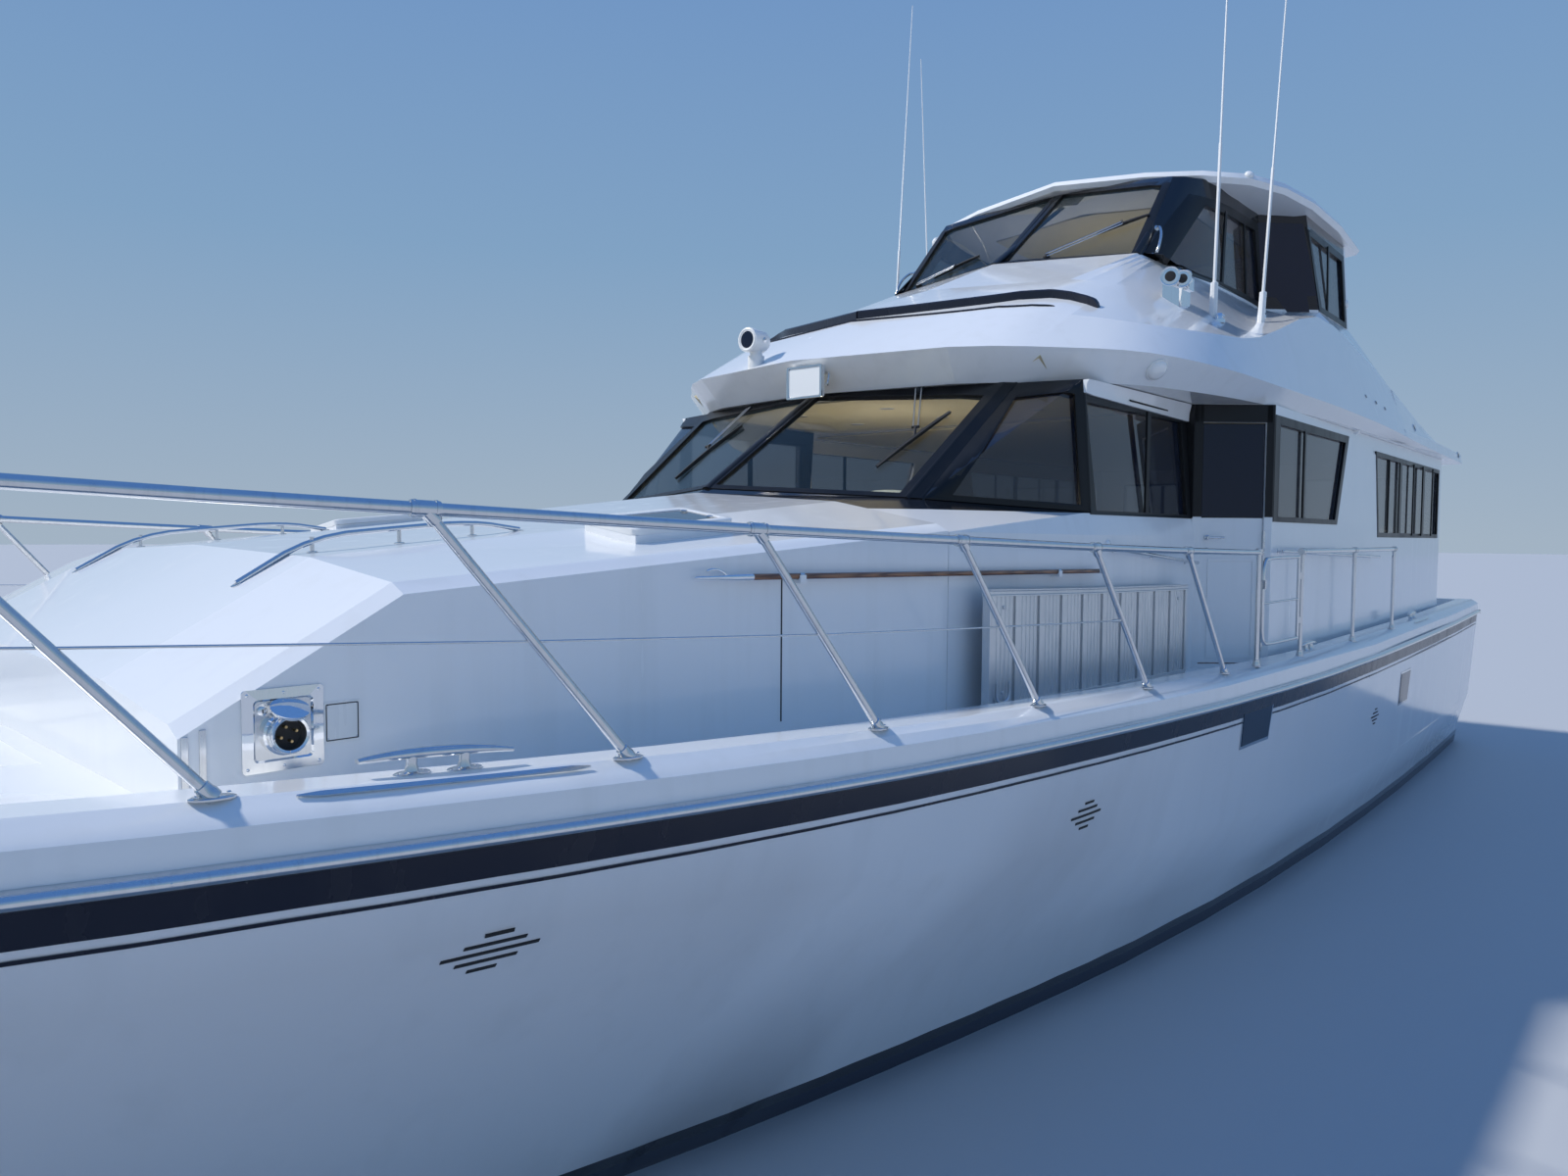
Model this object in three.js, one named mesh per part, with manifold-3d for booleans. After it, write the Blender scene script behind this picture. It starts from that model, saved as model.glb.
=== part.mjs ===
import * as THREE from 'three';
import Module from 'manifold-3d';

// Motor yacht, in millimetres. The origin is on the centreline at the waterline amidships,
// +X points to the bow, +Y to port and +Z up. Stations are measured aft from the bow tip.
const wasm = await Module();
wasm.setup();

const HULL_LENGTH = 21400;
const TOUCH = 0.3;
const JOINT_DROP = 168;
const DECK_DROP = 150;
const DECK_CROWN = 50;
const RIM_WIDTH = 290;
const CEILING = 3865;
const HOUSE_WALL = 60;
const UPPER_WALL = 55;
const GLASS_DEPTH = 22;
const GLASS_THICKNESS = 12;
const RAIL_HEIGHT = 783;
const RAIL_BOW_RISE = 33;
const RAIL_BOW_REACH = 5000;
const RAIL_LEAN = 644;
const RAIL_RADIUS = 19;
const STANCHION_RADIUS = 15;
const STANCHION_FIRST = 302;
const STANCHION_STEP = 1174;
const STANCHION_COUNT = 10;
const RAIL_INSET = 85;
const RAIL_END = 11480;
const GATE_AFT = 12480;
const SHAFT_Y = 1050;
const BEARING_RADIUS = 32.7;
const UPRIGHT = [0, 0, 1];

// Hull lines: sheer half-breadth, gunwale cap height, keel, chine and flare points.
const STATIONS = [
  { s: 0, sheer: 50, cap: 2430, keel: 1600, chineY: 20, chineZ: 1720, flareY: 35, flareZ: 1980 },
  { s: 400, sheer: 380, cap: 2406, keel: 1010, chineY: 35, chineZ: 1160, flareY: 260, flareZ: 1900 },
  { s: 1000, sheer: 800, cap: 2372, keel: 330, chineY: 60, chineZ: 560, flareY: 590, flareZ: 1840 },
  { s: 1500, sheer: 1090, cap: 2343, keel: -60, chineY: 105, chineZ: 240, flareY: 850, flareZ: 1800 },
  { s: 2100, sheer: 1380, cap: 2311, keel: -420, chineY: 190, chineZ: 40, flareY: 1150, flareZ: 1770 },
  { s: 3200, sheer: 1800, cap: 2254, keel: -840, chineY: 440, chineZ: -50, flareY: 1610, flareZ: 1730 },
  { s: 4300, sheer: 2120, cap: 2201, keel: -1030, chineY: 730, chineZ: -65, flareY: 1960, flareZ: 1690 },
  { s: 5400, sheer: 2350, cap: 2152, keel: -1110, chineY: 1020, chineZ: -75, flareY: 2230, flareZ: 1650 },
  { s: 6400, sheer: 2510, cap: 2110, keel: -1140, chineY: 1260, chineZ: -80, flareY: 2400, flareZ: 1590 },
  { s: 7400, sheer: 2615, cap: 2070, keel: -1150, chineY: 1500, chineZ: -88, flareY: 2485, flareZ: 1450 },
  { s: 8500, sheer: 2690, cap: 2036, keel: -1150, chineY: 1720, chineZ: -95, flareY: 2540, flareZ: 1290 },
  { s: 9600, sheer: 2735, cap: 2004, keel: -1150, chineY: 1910, chineZ: -100, flareY: 2585, flareZ: 1140 },
  { s: 10700, sheer: 2760, cap: 1979, keel: -1150, chineY: 2070, chineZ: -105, flareY: 2620, flareZ: 1010 },
  { s: 13000, sheer: 2770, cap: 1950, keel: -1130, chineY: 2260, chineZ: -115, flareY: 2650, flareZ: 780 },
  { s: 16000, sheer: 2750, cap: 1970, keel: -1060, chineY: 2350, chineZ: -125, flareY: 2650, flareZ: 700 },
  { s: 19000, sheer: 2680, cap: 1995, keel: -950, chineY: 2350, chineZ: -135, flareY: 2590, flareZ: 690 },
  { s: 21400, sheer: 2580, cap: 2010, keel: -850, chineY: 2300, chineZ: -140, flareY: 2500, flareZ: 690 },
];

// Places along the hull where its sections are drawn.
const SECTION_PLACES = [
  0, 200, 400, 700, 1000, 1250, 1500, 1800, 2100, 2650, 3200, 3750, 4300, 4850, 5400, 5900, 6400, 6900, 7400,
  7950, 8500, 9050, 9600, 10150, 10700, 11850, 13000, 14500, 16000, 17500, 19000, 20200, 21400,
];

// Trunk cabin sections: the side top, the roof edge above its bevel, the roof crease and the centre.
const TRUNK = [
  {
    s: 5070, sideY: 1750, sideZ: 2250, edgeY: 1680, edgeZ: 2285,
    creaseY: 1100, creaseZ: 2360, centreZ: 2390,
  },
  {
    s: 5750, sideY: 1770, sideZ: 2635, edgeY: 1695, edgeZ: 2672,
    creaseY: 1100, creaseZ: 2745, centreZ: 2780,
  },
  {
    s: 8794, sideY: 1920, sideZ: 2865, edgeY: 1840, edgeZ: 2905,
    creaseY: 1150, creaseZ: 3035, centreZ: 3110,
  },
];

// Wheelhouse rings from the deck up: front, windshield corner, quarter, side and aft corner.
const WHEELHOUSE = {
  foot: [[8800, 0, 1500], [8800, 1300, 1500], [8800, 1920, 1500], [10450, 1980, 1500], [12200, 1980, 1500]],
  crease: [[8800, 0, 3105], [8800, 1300, 3000], [8800, 1920, 2860], [10450, 1980, 2850], [12200, 1980, 2850]],
  sill: [[8880, 0, 3140], [9260, 1326, 3067], [9325, 1390, 3060], [10480, 1930, 3000], [12200, 1950, 3000]],
  head: [[9990, 0, CEILING], [10300, 1390, CEILING], [10365, 1450, CEILING], [10480, 1865, CEILING],
    [12200, 1890, CEILING]],
};
const SALON_OUTER = [[12205, 1960], [12620, 2420], [16000, 2400], [19900, 2330]];
const SALON_INNER = [[11900, 1880], [12232, 1880], [12648, 2360], [16000, 2340], [19840, 2270]];

// Flying bridge moulding rings: soffit, outer edge, crease and the base of the upper house.
const BRIDGE = {
  soffit: [[9960, 0], [10150, 1100], [10540, 1640], [10940, 2010], [11650, 2220], [12520, 2350],
    [14000, 2440], [15600, 2450], [16900, 2430]],
  edge: [[9730, 0, 4080], [9960, 1150, 4080], [10440, 1760, 4075], [10880, 2150, 4055], [11620, 2380, 4020],
    [12500, 2470, 3990], [14000, 2530, 3970], [15600, 2550, 3940], [16900, 2520, 3915]],
  crease: [[10440, 0, 4470], [10580, 1100, 4420], [10780, 1620, 4360], [11150, 1980, 4310],
    [11800, 2220, 4310], [12500, 2330, 4370], [14000, 2340, 4760], [15600, 2330, 4640], [16900, 2340, 4430]],
  base: [[12520, 0, 5300], [12760, 1240, 5240], [12900, 1320, 5200], [13200, 1420, 5150], [13800, 1500, 5120],
    [14600, 1510, 5120], [15250, 1500, 5120], [15660, 1920, 5120], [16900, 1900, 5120]],
};
const UPPER_HEAD = [[13900, 0, 6150], [13600, 1200, 5930], [13680, 1280, 5930], [13850, 1380, 5930],
  [14100, 1460, 5930], [14500, 1500, 5930], [14950, 1520, 5930], [15280, 1860, 5930], [16850, 1840, 5930]];

// Hardtop outline, and its layers from the underside to the crown.
const HARDTOP_PLAN = [[13650, 0], [13700, 900], [13850, 1380], [14120, 1720], [14550, 1900], [15200, 1975],
  [16200, 1970], [17350, 1880], [17650, 1500]];
const HARDTOP_LAYERS = [
  { scale: 0.9, z: 5990, lift: 1 },
  { scale: 0.985, z: 6030, lift: 1 },
  { scale: 1, z: 6080, lift: 0.95 },
  { scale: 0.985, z: 6135, lift: 0.9 },
  { scale: 0.9, z: 6185, lift: 0.85 },
  { scale: 0.45, z: 6245, lift: 0.75 },
];
const HARDTOP_CENTRE = 15700;
const HARDTOP_RIDGE = { rise: 205, half: 1900 };

const group = new THREE.Group();
const COLOURS = {
  white: { color: 0xf4f5f5, roughness: 0.3, metalness: 0 },
  hull: { color: 0xeceef0, roughness: 0.25, metalness: 0 },
  steel: { color: 0xc8cbd0, roughness: 0.2, metalness: 1 },
  aluminium: { color: 0xb9bec4, roughness: 0.45, metalness: 1 },
  glass: { color: 0x10151d, roughness: 0.05, metalness: 0 },
  wood: { color: 0x6b3a1e, roughness: 0.5, metalness: 0 },
  cream: { color: 0xe6e2c8, roughness: 0.7, metalness: 0 },
  bronze: { color: 0xa87b3c, roughness: 0.35, metalness: 1 },
  black: { color: 0x15171a, roughness: 0.5, metalness: 0 },
};

function mix(a, b, t) {
  return a + (b - a) * t;
}

function along(s) {
  return HULL_LENGTH / 2 - s;
}

function point(s, y, z) {
  return [along(s), y, z];
}

function rowBefore(rows, s) {
  let i = 0;
  while (i < rows.length - 2 && s > rows[i + 1].s) i += 1;
  return i;
}

// Slope of one column of the hull table at a row, from the rows on both sides of it.
function slopeAt(name, k) {
  const rise = (i) => (STATIONS[i + 1][name] - STATIONS[i][name]) / (STATIONS[i + 1].s - STATIONS[i].s);
  if (k === 0) return rise(0);
  if (k === STATIONS.length - 1) return rise(k - 1);
  const before = STATIONS[k].s - STATIONS[k - 1].s;
  const after = STATIONS[k + 1].s - STATIONS[k].s;
  return (rise(k) * before + rise(k - 1) * after) / (before + after);
}

function faired(name, s) {
  const i = rowBefore(STATIONS, s);
  const a = STATIONS[i];
  const b = STATIONS[i + 1];
  const span = b.s - a.s;
  const t = (s - a.s) / span;
  const swing = slopeAt(name, i) * span * t * (1 - t) ** 2 - slopeAt(name, i + 1) * span * t ** 2 * (1 - t);
  return a[name] * (1 + 2 * t) * (1 - t) ** 2 + b[name] * (3 - 2 * t) * t ** 2 + swing;
}

const SECTIONS = SECTION_PLACES.map((s) => {
  const row = { s };
  for (const name of Object.keys(STATIONS[0])) {
    if (name !== 's') row[name] = faired(name, s);
  }
  return row;
});

// Straight between neighbouring sections, as the solids are.
function value(name, s) {
  const i = rowBefore(SECTIONS, s);
  const a = SECTIONS[i];
  const b = SECTIONS[i + 1];
  return mix(a[name], b[name], (s - a.s) / (b.s - a.s));
}

function toSolid(positions, triangles) {
  const vertProperties = new Float32Array(positions);
  const triVerts = new Uint32Array(triangles);
  return new wasm.Manifold(new wasm.Mesh({ numProp: 3, vertProperties, triVerts }));
}

// A closed solid through rings of equal point count, each end closed by a fan.
// The second half of each ring splits its faces the other way, which keeps mirrored shapes even.
function loft(rings) {
  const n = rings[0].length;
  const points = rings.flat();
  const triangles = [];
  for (let r = 0; r < rings.length - 1; r += 1) {
    for (let i = 0; i < n; i += 1) {
      const a = r * n + i;
      const b = r * n + ((i + 1) % n);
      if (i < n / 2) triangles.push([a, b, b + n], [a, b + n, a + n]);
      else triangles.push([a, b, a + n], [b, b + n, a + n]);
    }
  }
  const ends = [0, (rings.length - 1) * n];
  ends.forEach((start, side) => {
    const centre = [0, 1, 2].map((k) => points.slice(start, start + n).reduce((t, p) => t + p[k], 0) / n);
    points.push(centre);
    const c = points.length - 1;
    for (let i = 0; i < n; i += 1) {
      const a = start + i;
      const b = start + ((i + 1) % n);
      triangles.push(side === 0 ? [b, a, c] : [a, b, c]);
    }
  });
  let volume = 0;
  const o = points[0];
  for (const [a, b, c] of triangles) {
    const u = new THREE.Vector3(...points[a].map((v, k) => v - o[k]));
    const v = new THREE.Vector3(...points[b].map((q, k) => q - o[k]));
    const w = new THREE.Vector3(...points[c].map((q, k) => q - o[k]));
    volume += u.dot(v.cross(w));
  }
  const ordered = volume > 0 ? triangles : triangles.map(([a, b, c]) => [a, c, b]);
  return toSolid(points.flat(), ordered.flat());
}

function mirrorRing(half) {
  const other = half.filter((p) => p[1] > 1e-6).map((p) => [p[0], -p[1], p[2]]).reverse();
  return half.concat(other);
}

function houseRing(half, z) {
  return mirrorRing(half.map(([s, y, own]) => point(s, y, own === undefined || z !== undefined ? z : own)));
}

// A half outline with more points: the first side stays straight, the rest is a smooth curve or straight.
const CURVE_STEPS = 3;
function refined(half, smooth) {
  const out = [half[0], half[1]];
  for (let i = 1; i < half.length - 1; i += 1) {
    const p0 = half[i - 1];
    const p1 = half[i];
    const p2 = half[i + 1];
    const p3 = half[Math.min(i + 2, half.length - 1)];
    for (let k = 1; k <= CURVE_STEPS; k += 1) {
      const t = k / CURVE_STEPS;
      out.push(p1.map((_, n) => {
        const straight = p1[n] + (p2[n] - p1[n]) * t;
        const bend = 2 * p1[n] + (p2[n] - p0[n]) * t + (2 * p0[n] - 5 * p1[n] + 4 * p2[n] - p3[n]) * t ** 2
          + (3 * p1[n] - p0[n] - 3 * p2[n] + p3[n]) * t ** 3;
        return smooth ? bend / 2 : straight;
      }));
    }
  }
  return out;
}

function mirrored(solid) {
  return solid.mirror([0, 1, 0]);
}

function box(s0, s1, y0, y1, z0, z1) {
  const geometry = new THREE.BoxGeometry(Math.abs(s1 - s0), Math.abs(y1 - y0), Math.abs(z1 - z0));
  geometry.translate(along((s0 + s1) / 2), (y0 + y1) / 2, (z0 + z1) / 2);
  const position = geometry.attributes.position;
  const corners = new Map();
  const points = [];
  const index = [];
  for (let i = 0; i < geometry.index.count; i += 1) {
    const k = geometry.index.getX(i);
    const p = [position.getX(k), position.getY(k), position.getZ(k)];
    const key = p.map((v) => v.toFixed(3)).join();
    if (!corners.has(key)) {
      corners.set(key, points.length / 3);
      points.push(...p);
    }
    index.push(corners.get(key));
  }
  return toSolid(points, index);
}

// A block between two heights over a surface given by station and breadth.
function tilted(s0, s1, y0, y1, h0, h1, surface) {
  const corners = [[s0, y0], [s1, y0], [s1, y1], [s0, y1]];
  const ring = (h) => corners.map(([s, y]) => point(s, y, surface(s, y) + h));
  return loft([ring(h0), ring(h1)]);
}

// Round solid of [distance, radius] pairs along an axis.
function turned(profile, origin, axis, sides = 16) {
  const direction = new THREE.Vector3(...axis).normalize();
  const helper = Math.abs(direction.z) > 0.9 ? new THREE.Vector3(1, 0, 0) : new THREE.Vector3(0, 0, 1);
  const u = new THREE.Vector3().crossVectors(helper, direction).normalize();
  const v = new THREE.Vector3().crossVectors(direction, u);
  const rings = profile.map(([d, r]) => {
    const ring = [];
    for (let i = 0; i < sides; i += 1) {
      const t = (2 * Math.PI * (i + 0.5)) / sides;
      const p = new THREE.Vector3(...origin).addScaledVector(direction, d);
      p.addScaledVector(u, r * Math.cos(t)).addScaledVector(v, r * Math.sin(t));
      ring.push([p.x, p.y, p.z]);
    }
    return ring;
  });
  return loft(rings);
}

function rod(p, q, radius, sides = 8) {
  const a = new THREE.Vector3(...p);
  const b = new THREE.Vector3(...q);
  const axis = b.clone().sub(a);
  return turned([[0, radius], [axis.length(), radius]], p, axis.toArray(), sides);
}

// A tube through points with mitred bends.
function pipe(points, radius, sides = 8) {
  const path = points.map((p) => new THREE.Vector3(...p));
  const first = path[1].clone().sub(path[0]).normalize();
  const helper = Math.abs(first.z) > 0.9 ? new THREE.Vector3(1, 0, 0) : new THREE.Vector3(0, 0, 1);
  const u = new THREE.Vector3().crossVectors(helper, first).normalize();
  const v = new THREE.Vector3().crossVectors(first, u);
  let ring = [];
  for (let i = 0; i < sides; i += 1) {
    const t = (2 * Math.PI * (i + 0.5)) / sides;
    const place = path[0].clone().addScaledVector(u, radius * Math.cos(t));
    ring.push(place.addScaledVector(v, radius * Math.sin(t)));
  }
  const rings = [ring];
  for (let k = 1; k < path.length; k += 1) {
    const inward = path[k].clone().sub(path[k - 1]).normalize();
    const outward = k < path.length - 1 ? path[k + 1].clone().sub(path[k]).normalize() : inward;
    const normal = inward.clone().add(outward).normalize();
    ring = ring.map((p) => {
      const t = path[k].clone().sub(p).dot(normal) / inward.dot(normal);
      return p.clone().addScaledVector(inward, t);
    });
    rings.push(ring);
  }
  return loft(rings.map((r) => r.map((p) => p.toArray())));
}

// Plan outline moved inward by a distance, heights kept.
function inset(ring, distance) {
  const n = ring.length;
  let area = 0;
  ring.forEach((p, i) => {
    const q = ring[(i + 1) % n];
    area += p[0] * q[1] - q[0] * p[1];
  });
  const turn = area > 0 ? 1 : -1;
  return ring.map((p, i) => {
    const a = ring[(i + n - 1) % n];
    const b = ring[(i + 1) % n];
    const before = new THREE.Vector2(p[0] - a[0], p[1] - a[1]).normalize();
    const after = new THREE.Vector2(b[0] - p[0], b[1] - p[1]).normalize();
    const n1 = new THREE.Vector2(-before.y, before.x).multiplyScalar(turn);
    const n2 = new THREE.Vector2(-after.y, after.x).multiplyScalar(turn);
    const middle = n1.clone().add(n2);
    const scale = distance / (1 + n1.dot(n2));
    return [p[0] + middle.x * scale, p[1] + middle.y * scale, p[2]];
  });
}

// A straight-sided cutter through a wall facet. The margins from its near and far side are given at
// the foot and the head, and those from its foot and head are given at the near and the far side.
function facet(quad, margins, gap, reach, shift = 0) {
  const [a, b, c, d] = quad.map((p) => new THREE.Vector3(...p));
  const normal = new THREE.Vector3().crossVectors(c.clone().sub(a), d.clone().sub(b)).normalize();
  const low = b.clone().sub(a).length();
  const high = c.clone().sub(d).length();
  const left = d.clone().sub(a).length();
  const corner = (u, v) => {
    const foot = a.clone().lerp(b, u[0]);
    const top = d.clone().lerp(c, u[1]);
    return foot.lerp(top, v);
  };
  const near = [(margins.near[0] + gap) / low, (margins.near[1] + gap) / high];
  const far = [1 - (margins.far[0] + gap) / low, 1 - (margins.far[1] + gap) / high];
  const flat = [
    corner(near, (margins.foot[0] + gap) / left),
    corner(far, (margins.foot[1] + gap) / left),
    corner(far, 1 - (margins.head[1] + gap) / left),
    corner(near, 1 - (margins.head[0] + gap) / left),
  ];
  const faces = [shift - reach, shift + reach];
  return loft(faces.map((depth) => flat.map((p) => p.clone().addScaledVector(normal, depth).toArray())));
}

// A cutter through a side wall from points of station and height.
function sideCut(outline, y0, y1) {
  return loft([outline.map(([s, z]) => point(s, y0, z)), outline.map(([s, z]) => point(s, y1, z))]);
}

function shrink(outline, gap) {
  const ring = inset(outline.map(([s, z]) => [s, z, 0]), gap);
  return ring.map(([s, z]) => [s, z]);
}

function add(name, solid, colour) {
  const mesh = solid.getMesh();
  const geometry = new THREE.BufferGeometry();
  geometry.setAttribute('position', new THREE.BufferAttribute(new Float32Array(mesh.vertProperties), 3));
  geometry.setIndex(new THREE.BufferAttribute(new Uint32Array(mesh.triVerts), 1));
  geometry.computeVertexNormals();
  const item = new THREE.Mesh(geometry, new THREE.MeshStandardMaterial(COLOURS[colour]));
  item.name = name;
  group.add(item);
  return solid;
}

function addPair(name, solid, colour) {
  add(`${name}_port`, solid, colour);
  add(`${name}_starboard`, mirrored(solid), colour);
}

// Hull with a shaft log on each side.
function hullRing(row) {
  const top = row.cap - JOINT_DROP;
  const half = [
    [along(row.s), 0, row.keel],
    [along(row.s), row.chineY * 0.5, mix(row.keel, row.chineZ, 0.42)],
    [along(row.s), row.chineY, row.chineZ],
    [along(row.s), row.chineY + Math.min(40, row.chineY * 0.4), row.chineZ + 35],
    [along(row.s), mix(row.chineY, row.flareY, 0.46), mix(row.chineZ, row.flareZ, 0.52)],
    [along(row.s), row.flareY, row.flareZ],
    [along(row.s), row.sheer, top],
  ];
  return mirrorRing(half);
}
const SHAFT_FRONT = point(15900, SHAFT_Y, -700);
const SHAFT_BACK = point(19560, SHAFT_Y, -1080);
const RUDDER_S = 20350;
let hull = loft(SECTIONS.map(hullRing));
for (const side of [1, -1]) {
  const front = [SHAFT_FRONT[0], side * SHAFT_Y, SHAFT_FRONT[2]];
  const back = [SHAFT_BACK[0], side * SHAFT_Y, SHAFT_BACK[2]];
  const step = new THREE.Vector3(...back).sub(new THREE.Vector3(...front));
  const at = (t) => new THREE.Vector3(...front).addScaledVector(step, t).toArray();
  hull = hull.add(rod(at(-0.12), at(0.1), 90, 16));
  hull = hull.add(turned([[-110, 62], [60, 62]], at(0.9), step.toArray(), 16));
  const bearing = at(0.9);
  const foot = [bearing[0], bearing[1], -700];
  const strut = [[-70, -14], [0, -22], [70, -14], [70, 14], [0, 22], [-70, 14]];
  const low = strut.map(([dx, dy]) => [bearing[0] + dx, bearing[1] + dy, bearing[2]]);
  const high = strut.map(([dx, dy]) => [foot[0] + dx * 1.3, foot[1] + dy * 1.2, -520]);
  hull = hull.add(loft([low, high]));
  hull = hull.subtract(rod(at(-0.05), at(1.2), BEARING_RADIUS, 24));
  const gland = point(RUDDER_S, side * SHAFT_Y, -720);
  hull = hull.add(turned([[0, 62], [140, 62]], gland, UPRIGHT, 16));
  hull = hull.subtract(turned([[-10, BEARING_RADIUS], [260, BEARING_RADIUS]], gland, UPRIGHT, 24));
}
add('hull', hull, 'hull');

// Deck moulding: a cambered slab with a raised gunwale rim on both sides and across the stern.
function deckSection(row, low, lift = 0) {
  const y = row.sheer - 10;
  const z = row.cap - DECK_DROP + lift;
  return [[-y, low], [y, low], [y, z], [0, z + DECK_CROWN * Math.min(1, row.sheer / 2000)], [-y, z]]
    .map(([q, h]) => [along(row.s), q, h]);
}
let deck = loft(SECTIONS.map((row) => deckSection(row, row.cap - JOINT_DROP + TOUCH)));
const rim = loft(SECTIONS.map((row) => {
  const w = Math.min(RIM_WIDTH, row.sheer * 0.9 + 25) / RIM_WIDTH;
  const low = row.cap - JOINT_DROP + TOUCH;
  const outline = [[0, low], [0, low + 110], [-35 * w, row.cap - 28], [-80 * w, row.cap], [-245 * w, row.cap],
    [-278 * w, row.cap - 18], [-290 * w, row.cap - DECK_DROP - 10], [-290 * w, low]];
  return outline.map(([dy, z]) => [along(row.s), row.sheer + dy, z]);
}));
const sternLow = value('cap', HULL_LENGTH) - JOINT_DROP + 6;
const sternRim = loft([-1, 1].map((side) => [
  point(21150, side * 2400, sternLow), point(21400, side * 2400, sternLow), point(21400, side * 2400, 1990),
  point(21360, side * 2400, 2009), point(21190, side * 2400, 2009),
]));
const deckSolid = loft(SECTIONS.map((row) => deckSection(row, -2500, TOUCH)));
deck = deck.add(rim).add(mirrored(rim)).add(sternRim);
const deckCentre = (s) => value('cap', s) - DECK_DROP + DECK_CROWN;
deck = deck.add(tilted(3900, 4500, -300, 300, -60, 28, deckCentre));
deck = deck.subtract(tilted(3960, 4440, -240, 240, -300, 200, deckCentre));
add('deck_moulding', deck, 'white');
const deckKeep = deck.add(deck.translate([0, 0, TOUCH]));

// Rub rails over the hull and deck joint.
const RUB_OUTLINE = [[0, -25], [24, -22], [40, -9], [40, 9], [24, 22], [0, 25]];
const rubRail = loft(SECTIONS.filter((row) => row.s >= 400).map((row) => {
  const z = row.cap - JOINT_DROP;
  return RUB_OUTLINE.map(([dy, dz]) => [along(row.s), row.sheer + TOUCH + dy, z + dz]);
}));
const rubSternZ = value('cap', HULL_LENGTH) - JOINT_DROP;
const rubStern = box(21380, 21400 + TOUCH + 40, -2615, 2615, rubSternZ - 25, rubSternZ + 25)
  .subtract(box(21000, 21400 + TOUCH, -2582, 2582, 1700, 1900));
add('rub_rail', rubRail.add(mirrored(rubRail)).add(rubStern), 'steel');

// Line of the boat hook along the house side, and the saddles that carry it.
const HOOK = { s0: 6950, y0: 1868, z0: 2660, s1: 10460, y1: 2025, z1: 2620, radius: 14 };
const hookLine = (s) => {
  const t = (s - HOOK.s0) / (HOOK.s1 - HOOK.s0);
  return point(s, HOOK.y0 + (HOOK.y1 - HOOK.y0) * t, HOOK.z0 + (HOOK.z1 - HOOK.z0) * t);
};
const hookAxis = new THREE.Vector3(...hookLine(HOOK.s1)).sub(new THREE.Vector3(...hookLine(HOOK.s0)));
const hookLength = hookAxis.length();
function saddle(s) {
  const [, y, z] = hookLine(s);
  const roomRadius = HOOK.radius + 3;
  const roomProfile = [[-100, roomRadius], [hookLength + 100, roomRadius]];
  const room = turned(roomProfile, hookLine(HOOK.s0), hookAxis.toArray(), 10);
  return box(s - 20, s + 20, y - 120, y + 22, z - 30, z + 6).subtract(room)
    .add(box(s - 20, s + 20, y - 6, y + 6, z - 30, z - HOOK.radius - 0.9));
}

// Trunk cabin over the forward accommodation, hollow and open to the deck.
function trunkRing(row, wall) {
  return mirrorRing([
    [along(row.s), 0, row.centreZ - wall],
    [along(row.s), row.creaseY - wall * 0.2, row.creaseZ - wall],
    [along(row.s), row.edgeY - wall * 0.6, row.edgeZ - wall],
    [along(row.s), row.sideY - wall, row.sideZ - wall],
    [along(row.s), row.sideY - wall, 1500],
  ]);
}
const innerTrunk = [
  { ...TRUNK[0], s: TRUNK[0].s + 60 },
  { ...TRUNK[1], s: TRUNK[1].s + 40 },
  { ...TRUNK[2], s: TRUNK[2].s - 60 },
];
const HATCH = { s: 7260, y: 1345, halfLength: 300, halfWidth: 172, rise: 28, frame: 55, lip: 8, lid: 34 };
function roofAt(s, y) {
  const [, a, b] = TRUNK;
  const t = (s - a.s) / (b.s - a.s);
  const here = (name) => mix(a[name], b[name], t);
  const u = (y - here('creaseY')) / (here('edgeY') - here('creaseY'));
  return mix(here('creaseZ'), here('edgeZ'), u);
}
function hatchBlock(grow, h0, h1) {
  const length = HATCH.halfLength + grow;
  const width = HATCH.halfWidth + grow;
  return tilted(HATCH.s - length, HATCH.s + length, HATCH.y - width, HATCH.y + width, h0, h1, roofAt);
}
let trunk = loft(TRUNK.map((row) => trunkRing(row, 0)));
const coaming = hatchBlock(0, -60, HATCH.rise);
trunk = trunk.add(coaming).add(mirrored(coaming)).add(saddle(7600));
trunk = trunk.subtract(loft(innerTrunk.map((row) => trunkRing(row, 60)))).subtract(deckSolid);
const hatchway = hatchBlock(-HATCH.frame, -250, 200);
trunk = trunk.subtract(hatchway).subtract(mirrored(hatchway));
add('trunk_cabin', trunk, 'white');
const lidBase = HATCH.rise + TOUCH;
addPair('trunk_hatch', hatchBlock(HATCH.lip, lidBase, lidBase + HATCH.lid), 'glass');

// Wheelhouse shell with its windshield facets, quarter windows and side windows.
const wheelTop = WHEELHOUSE.head.map(([s, y]) => [s, y, CEILING - TOUCH]);
const wheelHalves = [WHEELHOUSE.foot, WHEELHOUSE.crease, WHEELHOUSE.sill, wheelTop];
const wheelRings = wheelHalves.map((half) => houseRing(half));
function openAft(ring, reach) {
  return ring.map((p) => (p[0] < along(12000) ? [p[0] - reach, p[1], p[2]] : p));
}
function wheelShell(depth) {
  const rings = wheelRings.map((ring) => openAft(inset(ring, depth), depth + 200));
  rings[0] = rings[0].map((p) => [p[0], p[1], p[2] - 200]);
  const last = rings[rings.length - 1];
  rings.push(last.map((p) => [p[0], p[1], p[2] + 200]));
  return loft(rings);
}
const atRow = ([s, y, z]) => point(s, y, z);
function between(i, j) {
  const { sill, head } = WHEELHOUSE;
  return [sill[i], sill[j], head[j], head[i]].map(atRow);
}
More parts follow.
